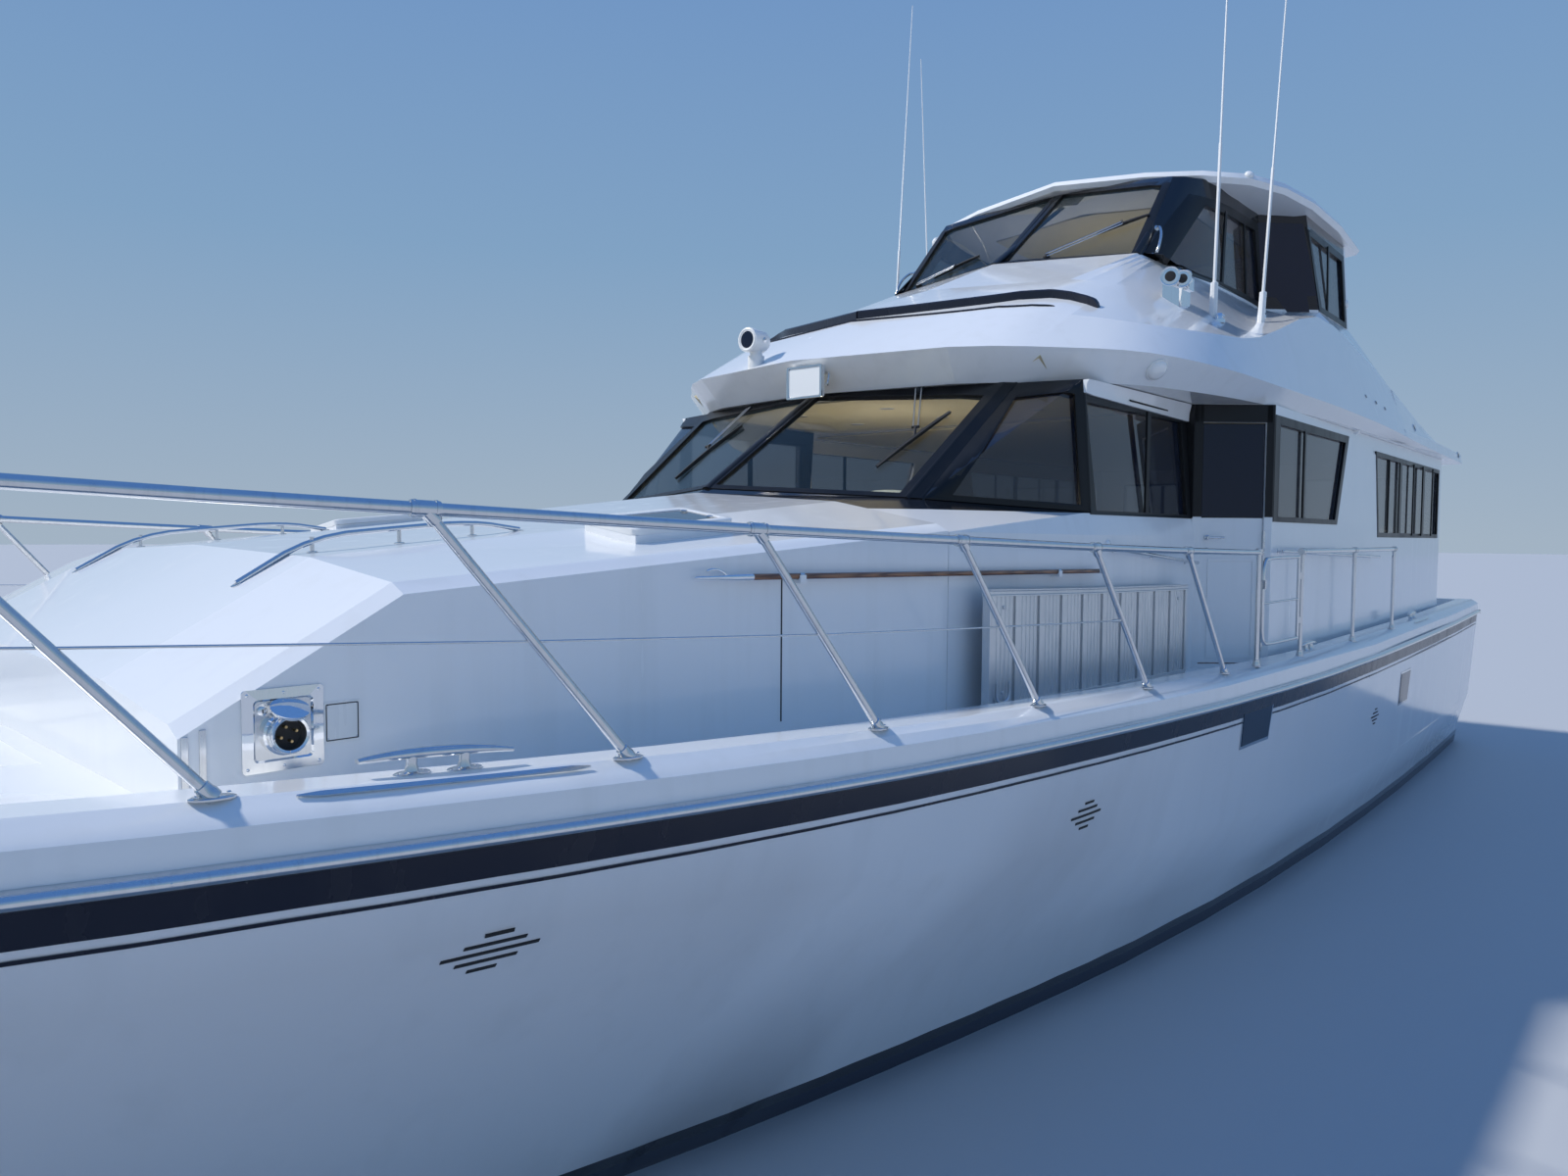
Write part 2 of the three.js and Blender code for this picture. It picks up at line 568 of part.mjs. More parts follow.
const WINDSHIELD_MARGINS = { near: [45, 45], far: [60, 60], foot: [40, 40], head: [40, 165] };
const QUARTER_MARGINS = { near: [190, 45], far: [70, 100], foot: [50, 60], head: [190, 190] };
const sideWindow = [[10560, 3010], [12120, 3010], [12080, 3720], [10500, 3720]];
const wheelCuts = {
  windshield: (gap) => facet(between(0, 1), WINDSHIELD_MARGINS, gap, 180),
  quarter: (gap) => facet(between(2, 3), QUARTER_MARGINS, gap, 240),
  side: (gap) => sideCut(shrink(sideWindow, gap), 1600, 2200),
};
let wheelhouse = loft(wheelRings).add(saddle(9900)).subtract(wheelShell(HOUSE_WALL)).subtract(deckSolid);
const wheelPane = wheelShell(GLASS_DEPTH).subtract(wheelShell(GLASS_DEPTH + GLASS_THICKNESS));
for (const cut of Object.values(wheelCuts)) {
  wheelhouse = wheelhouse.subtract(cut(0)).subtract(mirrored(cut(0)));
}
add('wheelhouse', wheelhouse, 'white');
addPair('windshield', wheelPane.intersect(wheelCuts.windshield(TOUCH)), 'glass');
addPair('quarter_glass', wheelPane.intersect(wheelCuts.quarter(TOUCH)), 'glass');
addPair('side_glass', wheelPane.intersect(wheelCuts.side(TOUCH)), 'glass');

// Salon house: side walls, angled door walls and aft bulkhead.
const salonOuter = [1500, CEILING - TOUCH].map((z) => houseRing(SALON_OUTER, z));
const salonInner = [1300, CEILING + 200].map((z) => houseRing(SALON_INNER, z));
const doorCorners = [
  [12205, 1960, 1830], [12620, 2420, 1830], [12620, 2420, CEILING], [12205, 1960, CEILING],
];
const doorFacet = doorCorners.map(atRow);
const DOORWAY_MARGINS = { near: [70, 70], far: [60, 60], foot: [30, 30], head: [140, 140] };
const DOOR_MARGINS = { near: [76, 76], far: [60.6, 60.6], foot: [36, 36], head: [146, 146] };
const salonWindows = [
  [[12760, 3005], [14480, 3005], [14780, 3725], [12760, 3725]],
  [[16250, 2900], [19700, 2900], [19700, 3680], [16050, 3680]],
];
let salon = loft(salonOuter).subtract(loft(salonInner)).subtract(deckSolid);
const salonSkin = (low, high, depth) => loft([low, high].map((z) => inset(houseRing(SALON_OUTER, z), depth)));
const salonPane = salonSkin(1300, CEILING + 100, GLASS_DEPTH)
  .subtract(salonSkin(1200, CEILING + 200, GLASS_DEPTH + GLASS_THICKNESS));
const doorCut = facet(doorFacet, DOORWAY_MARGINS, 0, 120);
salon = salon.subtract(doorCut).subtract(mirrored(doorCut));
salonWindows.forEach((outline, i) => {
  const cut = sideCut(outline, 2200, 2600);
  salon = salon.subtract(cut).subtract(mirrored(cut));
  const pane = salonPane.intersect(sideCut(shrink(outline, TOUCH), 2200, 2600));
  addPair(i === 0 ? 'salon_glass_fore' : 'salon_glass_aft', pane, 'glass');
});
salon = salon.subtract(box(19700, 20000, -430, 430, 1700, 3700));
for (const side of [1, -1]) {
  salon = salon.subtract(box(19700, 20000, side * 700, side * 1900, 2900, 3650));
}
add('salon_house', salon, 'white');
addPair('side_door', facet(doorFacet, DOOR_MARGINS, 0, 20, -42), 'white');
add('aft_door', box(19856, 19901, -429.4, 424, 1915, 3694), 'white');

// Flying bridge moulding: brow, cowl, side wings and the boat deck aft.
const COWL_STEPS = [0.25, 0.5, 0.75];
const creaseRing = houseRing(refined(BRIDGE.crease, true));
const cowlHead = houseRing(refined(BRIDGE.base, false));
const bridgeRings = [
  houseRing(refined(BRIDGE.soffit, true), CEILING),
  houseRing(refined(BRIDGE.edge, true)),
  creaseRing,
  ...COWL_STEPS.map((t) => creaseRing.map((p, i) => p.map((v, k) => mix(v, cowlHead[i][k], t)))),
  cowlHead,
];
const baseRing = houseRing(BRIDGE.base);
const bridgeWhole = loft(bridgeRings);
let bridge = bridgeWhole;
const wellFoot = [
  [12000, 0], [12200, 1150], [12500, 1350], [12900, 1450], [13600, 1560], [14300, 1640], [15200, 1700],
  [15700, 1800], [16820, 1800],
];
const wellTop = inset(baseRing, 80);
bridge = bridge.subtract(loft([houseRing(wellFoot, 4020), wellTop.map((p) => [p[0], p[1], 5400])]));
const boatDeck = [
  { s: 16800, half: 2520, low: 3915 },
  { s: 18900, half: 2470, low: 3880 },
  { s: 21000, half: 2390, low: 3875 },
];
bridge = bridge.add(loft(boatDeck.map(({ s, half, low }) => mirrorRing([
  point(s, half - 90, CEILING), point(s, half, low), point(s, half - 20, 4000), point(s, 0, 4020),
]).concat([point(s, 0, CEILING)]))));
const wingTop = [
  { s: 16850, y: 2500, top: 4437 },
  { s: 18700, y: 2450, top: 4200 },
  { s: 20900, y: 2385, top: 3990 },
];
const wing = loft(wingTop.map(({ s, y, top }) => [
  point(s, y, 3930), point(s, y - 150, top), point(s, y - 230, top), point(s, y - 250, 3930),
]));
bridge = bridge.add(wing).add(mirrored(wing));
bridge = bridge.subtract(box(16600, 17000, -360, 360, 4022, 5500));
add('bridge_moulding', bridge, 'white');
const bridgeKeep = bridge.add(bridge.translate([0, 0, TOUCH]));

// Upper house walls, carried up to the underside of the hardtop.
const raised = (ring, dz) => ring.map((p) => [p[0], p[1], p[2] + dz]);
const upperRings = [raised(baseRing, -60), raised(houseRing(UPPER_HEAD), 170)];
const upperShell = (depth) => {
  const rings = upperRings.map((ring) => inset(ring, depth));
  return loft([raised(rings[0], -300), ...rings, raised(rings[1], 300)]);
};

// Hardtop, crowned, with a thick rounded edge.
function crown(y) {
  return HARDTOP_RIDGE.rise * (1 - Math.min(1, Math.abs(y) / HARDTOP_RIDGE.half));
}
const hardtop = loft(HARDTOP_LAYERS.map(({ scale, z, lift }) => mirrorRing(HARDTOP_PLAN.map(([s, y]) => (
  point(HARDTOP_CENTRE + (s - HARDTOP_CENTRE) * scale, y * scale, z + crown(y * scale) * lift)
)))));
add('hardtop', hardtop, 'white');

const upperFacet = [BRIDGE.base[0], BRIDGE.base[1], UPPER_HEAD[1], UPPER_HEAD[0]].map(atRow);
const UPPER_MARGINS = { near: [45, 45], far: [70, 70], foot: [100, 100], head: [95, 95] };
const upperSide = [[13080, 5185], [15150, 5185], [14880, 5840], [13790, 5840]];
const upperAft = [[15760, 5185], [16740, 5185], [16690, 5840], [15420, 5840]];
const upperCuts = {
  upper_windshield: (gap) => facet(upperFacet, UPPER_MARGINS, gap, 180),
  upper_side_glass: (gap) => sideCut(shrink(upperSide, gap), 1000, 1800),
  upper_aft_glass: (gap) => sideCut(shrink(upperAft, gap), 1720, 2200),
};
let upper = loft(upperRings).subtract(upperShell(UPPER_WALL));
upper = upper.subtract(bridgeWhole).subtract(bridgeWhole.translate([0, 0, TOUCH]));
upper = upper.subtract(hardtop.translate([0, 0, -TOUCH]));
const upperPane = upperShell(GLASS_DEPTH).subtract(upperShell(GLASS_DEPTH + GLASS_THICKNESS));
for (const [name, cut] of Object.entries(upperCuts)) {
  upper = upper.subtract(cut(0)).subtract(mirrored(cut(0)));
  addPair(name, upperPane.intersect(cut(TOUCH)), 'glass');
}
upper = upper.subtract(box(16600, 17200, -360, 360, 4900, 5850));
add('upper_house', upper, 'white');

// Rails: heights follow the gunwale cap, tops lean forward of their feet.
function railY(s) {
  return Math.max(value('sheer', s) - RAIL_INSET, 280);
}
function railTop(s) {
  const rise = RAIL_BOW_RISE * Math.max(0, 1 - s / RAIL_BOW_REACH);
  return point(s, railY(s), value('cap', s + RAIL_LEAN) + RAIL_HEIGHT + rise);
}
function capY(s) {
  return Math.min(railY(s), value('sheer', s) - RAIL_INSET);
}
function pad(s, y, half, width, rise) {
  const ring = (h) => [[-half, -width], [half, -width], [half, width], [-half, width]]
    .map(([ds, dy]) => point(s + ds, y + dy, value('cap', s + ds) + h));
  return loft([ring(TOUCH), ring(rise)]);
}
const topStations = [RAIL_END];
for (let s = 10500; s > 500; s -= 1250) topStations.push(s);
topStations.push(500, 0);
const bowHigh = value('cap', 0) + RAIL_HEIGHT + RAIL_BOW_RISE;
const bowTop = [point(-330, 250, bowHigh), point(-430, 90, bowHigh), point(-430, TOUCH / 2, bowHigh)];
let bowRail = pipe([...topStations.map(railTop), ...bowTop], RAIL_RADIUS, 10);
bowRail = bowRail.add(rod(point(-430, 34, bowHigh), bowTop[2], RAIL_RADIUS + 4, 10));
function postFoot(s) {
  return point(s, capY(s), value('cap', s) + 6);
}
function railPost(s, lean) {
  const top = s - lean < -300 ? bowTop[0] : railTop(s - lean);
  return rod(postFoot(s), top, STANCHION_RADIUS, 8).add(pad(s, capY(s), 62, 34, 12));
}
for (let i = 0; i < STANCHION_COUNT; i += 1) {
  bowRail = bowRail.add(railPost(STANCHION_FIRST + i * STANCHION_STEP, RAIL_LEAN));
}
bowRail = bowRail.add(rod(postFoot(RAIL_END), railTop(RAIL_END), STANCHION_RADIUS, 8));
bowRail = bowRail.add(pad(RAIL_END, capY(RAIL_END), 40, 34, 12));
addPair('bow_rail', bowRail.subtract(deckKeep), 'steel');

// Side rails aft of the boarding gates.
const sidePosts = [GATE_AFT, 14050, 15620];
const sideZ = value('cap', RAIL_END + RAIL_LEAN) + RAIL_HEIGHT;
let sideRail = pipe(sidePosts.map((s) => point(s, capY(s), sideZ)), RAIL_RADIUS, 8);
for (const s of sidePosts) {
  sideRail = sideRail.add(rod(postFoot(s), point(s, capY(s), sideZ), STANCHION_RADIUS, 8));
  sideRail = sideRail.add(pad(s, capY(s), 40, 34, 12));
}
addPair('side_rail', sideRail, 'steel');

// Boarding gates of bent tube, hinged to the post aft of them.
const gateY = capY(12000);
const gateLow = 2100;
const gateHigh = 2700;
const postFlat = STANCHION_RADIUS * Math.cos(Math.PI / 8);
const gateFrame = [
  [11610, gateLow], [11570, gateLow + 60], [11570, gateHigh - 60], [11610, gateHigh], [12400, gateHigh],
  [12400, gateLow],
];
let gate = pipe(gateFrame.map(([s, z]) => point(s, gateY, z)), 12, 8);
gate = gate.add(rod(point(11600, gateY, gateLow), point(12405, gateY, gateLow), 12, 8));
gate = gate.add(rod(point(11570, gateY, 2390), point(12400, gateY, 2390), 8, 8));
for (const z of [2230, 2560]) {
  gate = gate.add(box(12396, GATE_AFT - postFlat - TOUCH, gateY - 4, gateY + 4, z - 18, z + 18));
}
addPair('boarding_gate', gate, 'steel');

// Stowed aluminium gangway standing on edge on the port side deck.
const GANGWAY = { s0: 8950, s1: 11800, y: 2065, height: 670 };
function deckAt(s, y) {
  const side = value('sheer', s) - 10;
  return value('cap', s) - DECK_DROP + DECK_CROWN * (1 - Math.abs(y) / side);
}
const gangwayFloor = (s) => deckAt(s, GANGWAY.y - 35);
const { s0, s1, y: gy, height } = GANGWAY;
let gangway = tilted(s0, s1, gy - 4, gy + 4, 30, height - 20, gangwayFloor);
gangway = gangway.add(tilted(s0, s1, gy - 28, gy + 28, TOUCH, 45, gangwayFloor));
gangway = gangway.add(tilted(s0, s1, gy - 28, gy + 28, height - 40, height, gangwayFloor));
for (let i = 0; i <= 10; i += 1) {
  const s = s0 + ((s1 - s0 - 40) * i) / 10;
  gangway = gangway.add(tilted(s, s + 40, gy - 22, gy + 22, 30, height - 20, gangwayFloor));
}
add('gangway', gangway, 'aluminium');

// Boat hook.
const hookProfile = [[-80, 3], [0, 13], [360, 15], [370, HOOK.radius], [hookLength, HOOK.radius]];
let hook = turned(hookProfile, hookLine(HOOK.s0), hookAxis.toArray(), 10);
hook = hook.add(pipe([hookLine(HOOK.s0 + 150), hookLine(HOOK.s0 + 90).map((v, k) => v + [0, 0, 45][k]),
  hookLine(HOOK.s0 + 10).map((v, k) => v + [0, 0, 50][k])], 7, 6));
add('boat_hook', hook, 'wood');

// Mooring cleats on the gunwale caps.
const CLEAT_TIP = 50;
const CLEAT_BAR = 62;
function cleat(s, length) {
  const y = (q) => value('sheer', q) - 162;
  const z = (q) => value('cap', q);
  const half = length / 2;
  const barPlaces = [
    [-half, CLEAT_TIP], [-half * 0.5, CLEAT_BAR], [half * 0.5, CLEAT_BAR], [half, CLEAT_TIP],
  ];
  const bar = pipe(barPlaces.map(([ds, h]) => point(s + ds, y(s + ds), z(s) + h)), 15, 8);
  let solid = pad(s, y(s), half * 0.5, 30, 10).add(bar);
  for (const ds of [-half * 0.32, half * 0.32]) {
    const legFoot = point(s + ds, y(s + ds), z(s + ds) + 6);
    const legHead = point(s + ds, y(s + ds), z(s) + CLEAT_BAR - 2);
    solid = solid.add(rod(legFoot, legHead, 17, 8));
  }
  return solid;
}
const CLEATS = [{ name: 'cleat_fore', s: 5600, length: 450 }, { name: 'cleat_mid', s: 13000, length: 400 },
  { name: 'cleat_aft', s: 17100, length: 400 }];
for (const row of CLEATS) addPair(row.name, cleat(row.s, row.length), 'steel');

// Shore power inlet on the trunk side: plate, collar and hood.
const INLET = { s: 5360, z: 2245, half: 120, rise: 125 };
const trunkSide = (s) => mix(TRUNK[0].sideY, TRUNK[1].sideY, (s - TRUNK[0].s) / (TRUNK[1].s - TRUNK[0].s));
const plateRing = (offset) => [[-1, -1], [1, -1], [1, 1], [-1, 1]].map(([a, b]) => {
  const s = INLET.s + a * INLET.half;
  return point(s, trunkSide(s) + offset, INLET.z + b * INLET.rise);
});
let inlet = loft([plateRing(TOUCH), plateRing(9)]);
const inletAt = point(INLET.s, trunkSide(INLET.s) + 5, INLET.z - 10);
inlet = inlet.add(turned([[0, 78], [20, 74], [62, 62]], inletAt, [0, 1, 0], 20));
inlet = inlet.subtract(turned([[25, 46], [120, 46]], inletAt, [0, 1, 0], 20));
const inletY = trunkSide(INLET.s);
const hoodAt = point(INLET.s, inletY + 66, INLET.z + 62);
inlet = inlet.add(turned([[0, 50], [8, 56], [18, 50]], hoodAt, [0, 0.5, 1], 16));
inlet = inlet.add(box(INLET.s - 18, INLET.s + 18, inletY + 5, inletY + 68, INLET.z + 50, INLET.z + 74));
add('shore_inlet', inlet, 'steel');

// Anchor on its roller plate over the stem.
const plateZ = value('cap', 0) + TOUCH;
let anchor = box(-330, 560, -95, 95, plateZ, plateZ + 12);
for (const side of [-1, 1]) anchor = anchor.add(box(-330, 120, side * 87, side * 95, plateZ, plateZ + 110));
anchor = anchor.add(rod(point(-270, -90, plateZ + 50), point(-270, 90, plateZ + 50), 34, 12));
anchor = anchor.add(box(-420, 480, -17, 17, plateZ + 78, plateZ + 128));
function fluke(w, s, z) {
  return [point(s, -w, z), point(s, w, z), point(s + 30, w, z + 26), point(s + 30, -w, z + 26)];
}
anchor = anchor.add(loft([fluke(40, -420, plateZ + 90), fluke(150, -400, 2300), fluke(12, -300, 2060)]));
add('anchor', anchor, 'steel');

// Foredeck hatch lid on its coaming.
const FORE_HATCH = { s: 4200, half: 308 };
const foreLid = tilted(FORE_HATCH.s - FORE_HATCH.half, FORE_HATCH.s + FORE_HATCH.half, -FORE_HATCH.half,
  FORE_HATCH.half, lidBase, lidBase + HATCH.lid, (s) => deckAt(s, 0));
add('foredeck_hatch', foreLid, 'glass');

// Trumpet horns on the port shoulder of the cowl.
const HORN = { s: 12150, y: 1800, z: 4770 };
const hornAxis = [1, 0.28, 0];
let horns = box(HORN.s - 60, HORN.s + 170, HORN.y - 70, HORN.y + 60, 4440, HORN.z + 20);
const TRUMPETS = [
  { dy: -95, dz: 30, r: 70, length: 420 },
  { dy: 75, dz: 10, r: 62, length: 340 },
  { dy: -10, dz: 95, r: 42, length: 260 },
  { dy: 110, dz: 95, r: 38, length: 220 },
];
for (const t of TRUMPETS) {
  const back = point(HORN.s + 150, HORN.y + t.dy * 0.5, HORN.z + t.dz * 0.6);
  const bell = [[-30, 24], [t.length * 0.3, 20], [t.length * 0.8, t.r * 0.6], [t.length, t.r]];
  horns = horns.add(turned(bell, back, hornAxis, 12));
}
horns = horns.add(box(HORN.s + 90, HORN.s + 190, HORN.y - 70, HORN.y + 80, HORN.z - 20, HORN.z + 75));
add('horns', horns.subtract(bridgeKeep), 'steel');

// Searchlight on the brow, its head turning on the pedestal.
const LIGHT = { s: 9900, y: -500, base: 4185, foot: 4084 };
const lightAt = (z) => point(LIGHT.s, LIGHT.y, z);
const pedestal = turned([[0, 62], [LIGHT.base - LIGHT.foot, 62]], lightAt(LIGHT.foot), UPRIGHT, 16);
add('searchlight_base', pedestal.subtract(bridgeKeep), 'white');
let lamp = turned([[0, 50], [40, 44]], lightAt(LIGHT.base + TOUCH), UPRIGHT, 16);
const lampProfile = [[-95, 60], [-60, 82], [85, 92], [100, 92]];
lamp = lamp.add(turned(lampProfile, lightAt(LIGHT.base + 112), [1, 0, 0], 16));
add('searchlight_head', lamp, 'white');

// Whip antennas.
const WHIPS = [
  { name: 'antenna_port_fore', s: 12420, y: 2000, foot: 4400, top: 8900, lean: 0.052 },
  { name: 'antenna_port_aft', s: 13300, y: 2080, foot: 4480, top: 8900, lean: 0.155 },
  { name: 'antenna_starboard_fore', s: 13850, y: -2050, foot: 4560, top: 8850, lean: 0.074 },
  { name: 'antenna_starboard_aft', s: 14650, y: -2050, foot: 4560, top: 8320, lean: -0.081 },
];
for (const w of WHIPS) {
  const rise = w.top - w.foot;
  const whip = turned([[0, 30], [420, 28], [430, 13], [1500, 13], [1510, 9], [rise, 4]],
    point(w.s, w.y, w.foot), [-w.lean, 0, 1], 8);
  add(w.name, whip.subtract(bridgeKeep), 'white');
}

// Propellers with their shafts, and spade rudders.
const shaftStep = new THREE.Vector3(...SHAFT_BACK).sub(new THREE.Vector3(...SHAFT_FRONT));
const shaftAt = (t) => new THREE.Vector3(...SHAFT_FRONT).addScaledVector(shaftStep, t).toArray();
const shaftAxis = shaftStep.clone().normalize();
const shaftLength = shaftStep.length();
let screw = rod(shaftAt(0.0), shaftAt(1), 32, 24);
screw = screw.add(turned([[-60, 60], [40, 74], [110, 66], [170, 20]], shaftAt(1), shaftAxis.toArray(), 16));
const BLADES = 4;
for (let i = 0; i < BLADES; i += 1) {
  const spin = new THREE.Matrix4().makeRotationAxis(shaftAxis, (2 * Math.PI * i) / BLADES);
  const radial = new THREE.Vector3(0, 0, 1).cross(shaftAxis).normalize();
  const side = new THREE.Vector3().crossVectors(shaftAxis, radial);
  const rings = [[45, 60, 0.9], [150, 130, 0.7], [270, 150, 0.5], [350, 70, 0.4]].map(([r, chord, pitch]) => {
    const lead = side.clone().multiplyScalar(Math.cos(pitch)).addScaledVector(shaftAxis, Math.sin(pitch));
    const thick = new THREE.Vector3().crossVectors(lead, radial).normalize();
    return [[-1, 0], [0, -0.09], [1, 0], [0, 0.09]].map(([a, b]) => {
      const p = radial.clone().multiplyScalar(r).addScaledVector(lead, a * chord);
      p.addScaledVector(thick, b * 130).addScaledVector(shaftAxis, 30);
      p.applyMatrix4(spin).add(new THREE.Vector3(...shaftAt(1)));
      return p.toArray();
    });
  });
  screw = screw.add(loft(rings));
}
addPair('propeller', screw, 'bronze');

function rudderPlan(s0, s1, w, z) {
  const thickest = mix(s0, s1, 0.3);
  return [point(s0, SHAFT_Y, z), point(thickest, SHAFT_Y + w, z), point(s1, SHAFT_Y, z),
    point(thickest, SHAFT_Y - w, z)];
}
let rudder = loft([rudderPlan(20200, 20760, 34, -1420), rudderPlan(20150, 20800, 40, -745)]);
rudder = rudder.add(turned([[-30, 32], [225, 32]], point(RUDDER_S, SHAFT_Y, -750), UPRIGHT, 24));
addPair('rudder', rudder, 'bronze');

// Swim platform on the transom.
let platform = box(HULL_LENGTH + TOUCH, 22300, -2150, 2150, 300, 372);
for (const y of [-1400, 0, 1400]) {
  platform = platform.add(box(HULL_LENGTH + TOUCH, 22000, y - 30, y + 30, 180, 310));
}
add('swim_platform', platform, 'white');

// Helm console behind the windshield.
const CONSOLE_PROFILE = [[9620, 1600], [10300, 1600], [10300, 2860], [10160, 3010], [9620, 2960]];
const consoleRing = (y) => CONSOLE_PROFILE.map(([s, z]) => point(s, y, z));
add('helm_console', loft([consoleRing(-1250), consoleRing(1150)]).subtract(deckSolid), 'wood');

export default group;
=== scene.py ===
import math

import bmesh
import bpy
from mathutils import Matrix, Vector
from mathutils.bvhtree import BVHTree


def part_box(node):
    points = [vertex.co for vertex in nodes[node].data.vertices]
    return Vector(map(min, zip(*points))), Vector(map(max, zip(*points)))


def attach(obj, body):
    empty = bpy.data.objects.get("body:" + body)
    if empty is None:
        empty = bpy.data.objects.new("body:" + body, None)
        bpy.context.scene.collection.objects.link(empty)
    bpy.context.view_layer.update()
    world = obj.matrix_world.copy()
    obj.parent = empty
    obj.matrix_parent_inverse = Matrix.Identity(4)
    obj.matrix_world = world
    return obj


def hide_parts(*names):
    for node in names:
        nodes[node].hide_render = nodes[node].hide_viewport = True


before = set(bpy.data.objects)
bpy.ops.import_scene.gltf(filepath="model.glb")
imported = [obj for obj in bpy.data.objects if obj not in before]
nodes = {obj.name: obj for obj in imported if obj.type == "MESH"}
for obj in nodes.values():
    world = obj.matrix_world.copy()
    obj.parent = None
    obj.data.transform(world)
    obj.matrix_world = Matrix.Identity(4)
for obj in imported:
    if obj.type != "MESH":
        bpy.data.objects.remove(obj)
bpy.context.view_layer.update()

# The yacht lies along X with her bow at +X, port at +Y and the waterline at zero height.
# Stations are metres aft of the bow tip, as in a lines plan.
hullLength = 21.4
sides = (("port", 1), ("starboard", -1))
forward, outboard, upward = Vector((1, 0, 0)), Vector((0, 1, 0)), Vector((0, 0, 1))
print("frame loaded:", len(nodes), "nodes")


def at(s, y, z):
    return Vector((hullLength / 2 - s, y, z))


def stationOf(point):
    return hullLength / 2 - point.x


def mix(a, b, t):
    return a + (b - a) * t


def steps(a, b, count):
    return [mix(a, b, i / (count - 1)) for i in range(count)]


def turns(count):
    return [2 * math.pi * k / count for k in range(count)]


trees = {}


def probe(node, start, way):
    # where a ray from start meets a moulding, and the way that its surface faces
    if node not in trees:
        mesh = nodes[node].data
        points = [v.co.copy() for v in mesh.vertices]
        trees[node] = BVHTree.FromPolygons(points, [tuple(p.vertices) for p in mesh.polygons])
    point, normal, _, _ = trees[node].ray_cast(Vector(start), Vector(way).normalized())
    if point is None:
        raise ValueError(f"nothing of {node} at {tuple(start)}")
    return point, normal


def topOf(node, s, y):
    return probe(node, at(s, y, 6), -upward)


def sideOf(node, s, z):
    return probe(node, at(s, 4, z), -outboard)


# Camera and room

view = {
    "place": (6.732, 4.972, 2.834), "turn": 41.114, "pitch": 2.829, "roll": 0.355, "lens": 24.3,
    "clip": (0.05, 600), "floor": 260.0, "sky": 0.55, "skyTop": 0.75,
    "sunFrom": (0.5, -0.72, 0.86), "sunPower": 3.5, "sunSpread": 4.0, "lampSize": 0.4,
}
skyColours = ((0.66, 0.82, 1.0, 1), (0.4, 0.66, 1.0, 1), (0.16, 0.4, 1.0, 1))
cabinLamps = {"cabinLamp": ((11.0, 0, 2.7), 34), "upperLamp": ((14.4, 0, 5.2), 8)}


def showObject(name, data):
    item = bpy.data.objects.new(name, data)
    bpy.context.scene.collection.objects.link(item)
    return item


def aimCamera():
    camera = showObject("camera", bpy.data.cameras.new("camera"))
    turn, pitch, roll = (math.radians(view[k]) for k in ("turn", "pitch", "roll"))
    ahead = Vector((-math.cos(turn) * math.cos(pitch), -math.sin(turn) * math.cos(pitch), -math.sin(pitch)))
    level = Vector((-math.sin(turn), math.cos(turn), 0))
    upright = level.cross(ahead)
    right = level * math.cos(roll) + upright * math.sin(roll)
    up = upright * math.cos(roll) - level * math.sin(roll)
    matrix = camera.matrix_world.to_3x3()
    for row in range(3):
        matrix[row] = (right[row], up[row], -ahead[row])
    camera.matrix_world = matrix.to_4x4()
    camera.location = view["place"]
    camera.data.lens = view["lens"]
    camera.data.sensor_width = 36
    camera.data.clip_start, camera.data.clip_end = view["clip"]
    bpy.context.scene.camera = camera


def lightRoom():
    world = bpy.data.worlds.new("studio")
    bpy.context.scene.world = world
    bpy.context.scene.view_settings.view_transform = "Standard"
    world.use_nodes = True
    tree = world.node_tree
    place = tree.nodes.new("ShaderNodeTexCoord")
    split = tree.nodes.new("ShaderNodeSeparateXYZ")
    ramp = tree.nodes.new("ShaderNodeValToRGB")
    sky = tree.nodes["Background"]
    tree.links.new(place.outputs["Generated"], split.inputs[0])
    tree.links.new(split.outputs["Z"], ramp.inputs["Fac"])
    tree.links.new(ramp.outputs["Color"], sky.inputs["Color"])
    stops = ramp.color_ramp.elements
    stops[0].position, stops[0].color = 0.0, skyColours[0]
    stops[1].position, stops[1].color = view["skyTop"], skyColours[2]
    stops.new(0.25).color = skyColours[1]
    sky.inputs["Strength"].default_value = view["sky"]
    lamp = bpy.data.lights.new("key", "SUN")
    lamp.energy, lamp.angle, lamp.color = view["sunPower"], math.radians(view["sunSpread"]), (1, 0.965, 0.91)
    showObject("key", lamp).rotation_euler = Vector(view["sunFrom"]).to_track_quat("Z", "Y").to_euler()
    for name, (place, power) in cabinLamps.items():
        lamp = bpy.data.lights.new(name, "POINT")
        lamp.energy, lamp.shadow_soft_size, lamp.color = power, view["lampSize"], (1, 0.93, 0.8)
        cabin = showObject(name, lamp)
        cabin.location = at(*place)
        cabin.visible_camera = False


# Node groups for effects that several finishes share

def newGroup(name, inputs, outputs):
    group = bpy.data.node_groups.new(name, "ShaderNodeTree")
    for label, kind, value in inputs:
        socket = group.interface.new_socket(label, in_out="INPUT", socket_type=kind)
        if value is not None:
            socket.default_value = value
    for label in outputs:
        group.interface.new_socket(label, in_out="OUTPUT", socket_type="NodeSocketFloat")
    return group, group.nodes.new("NodeGroupInput"), group.nodes.new("NodeGroupOutput")


def put(node, values):
    for label, value in values.items():
        node.inputs[label].default_value = value


def addNode(tree, kind, values=None, **settings):
    node = tree.nodes.new(kind)
    for key, value in settings.items():
        setattr(node, key, value)
    put(node, values or {})
    return node


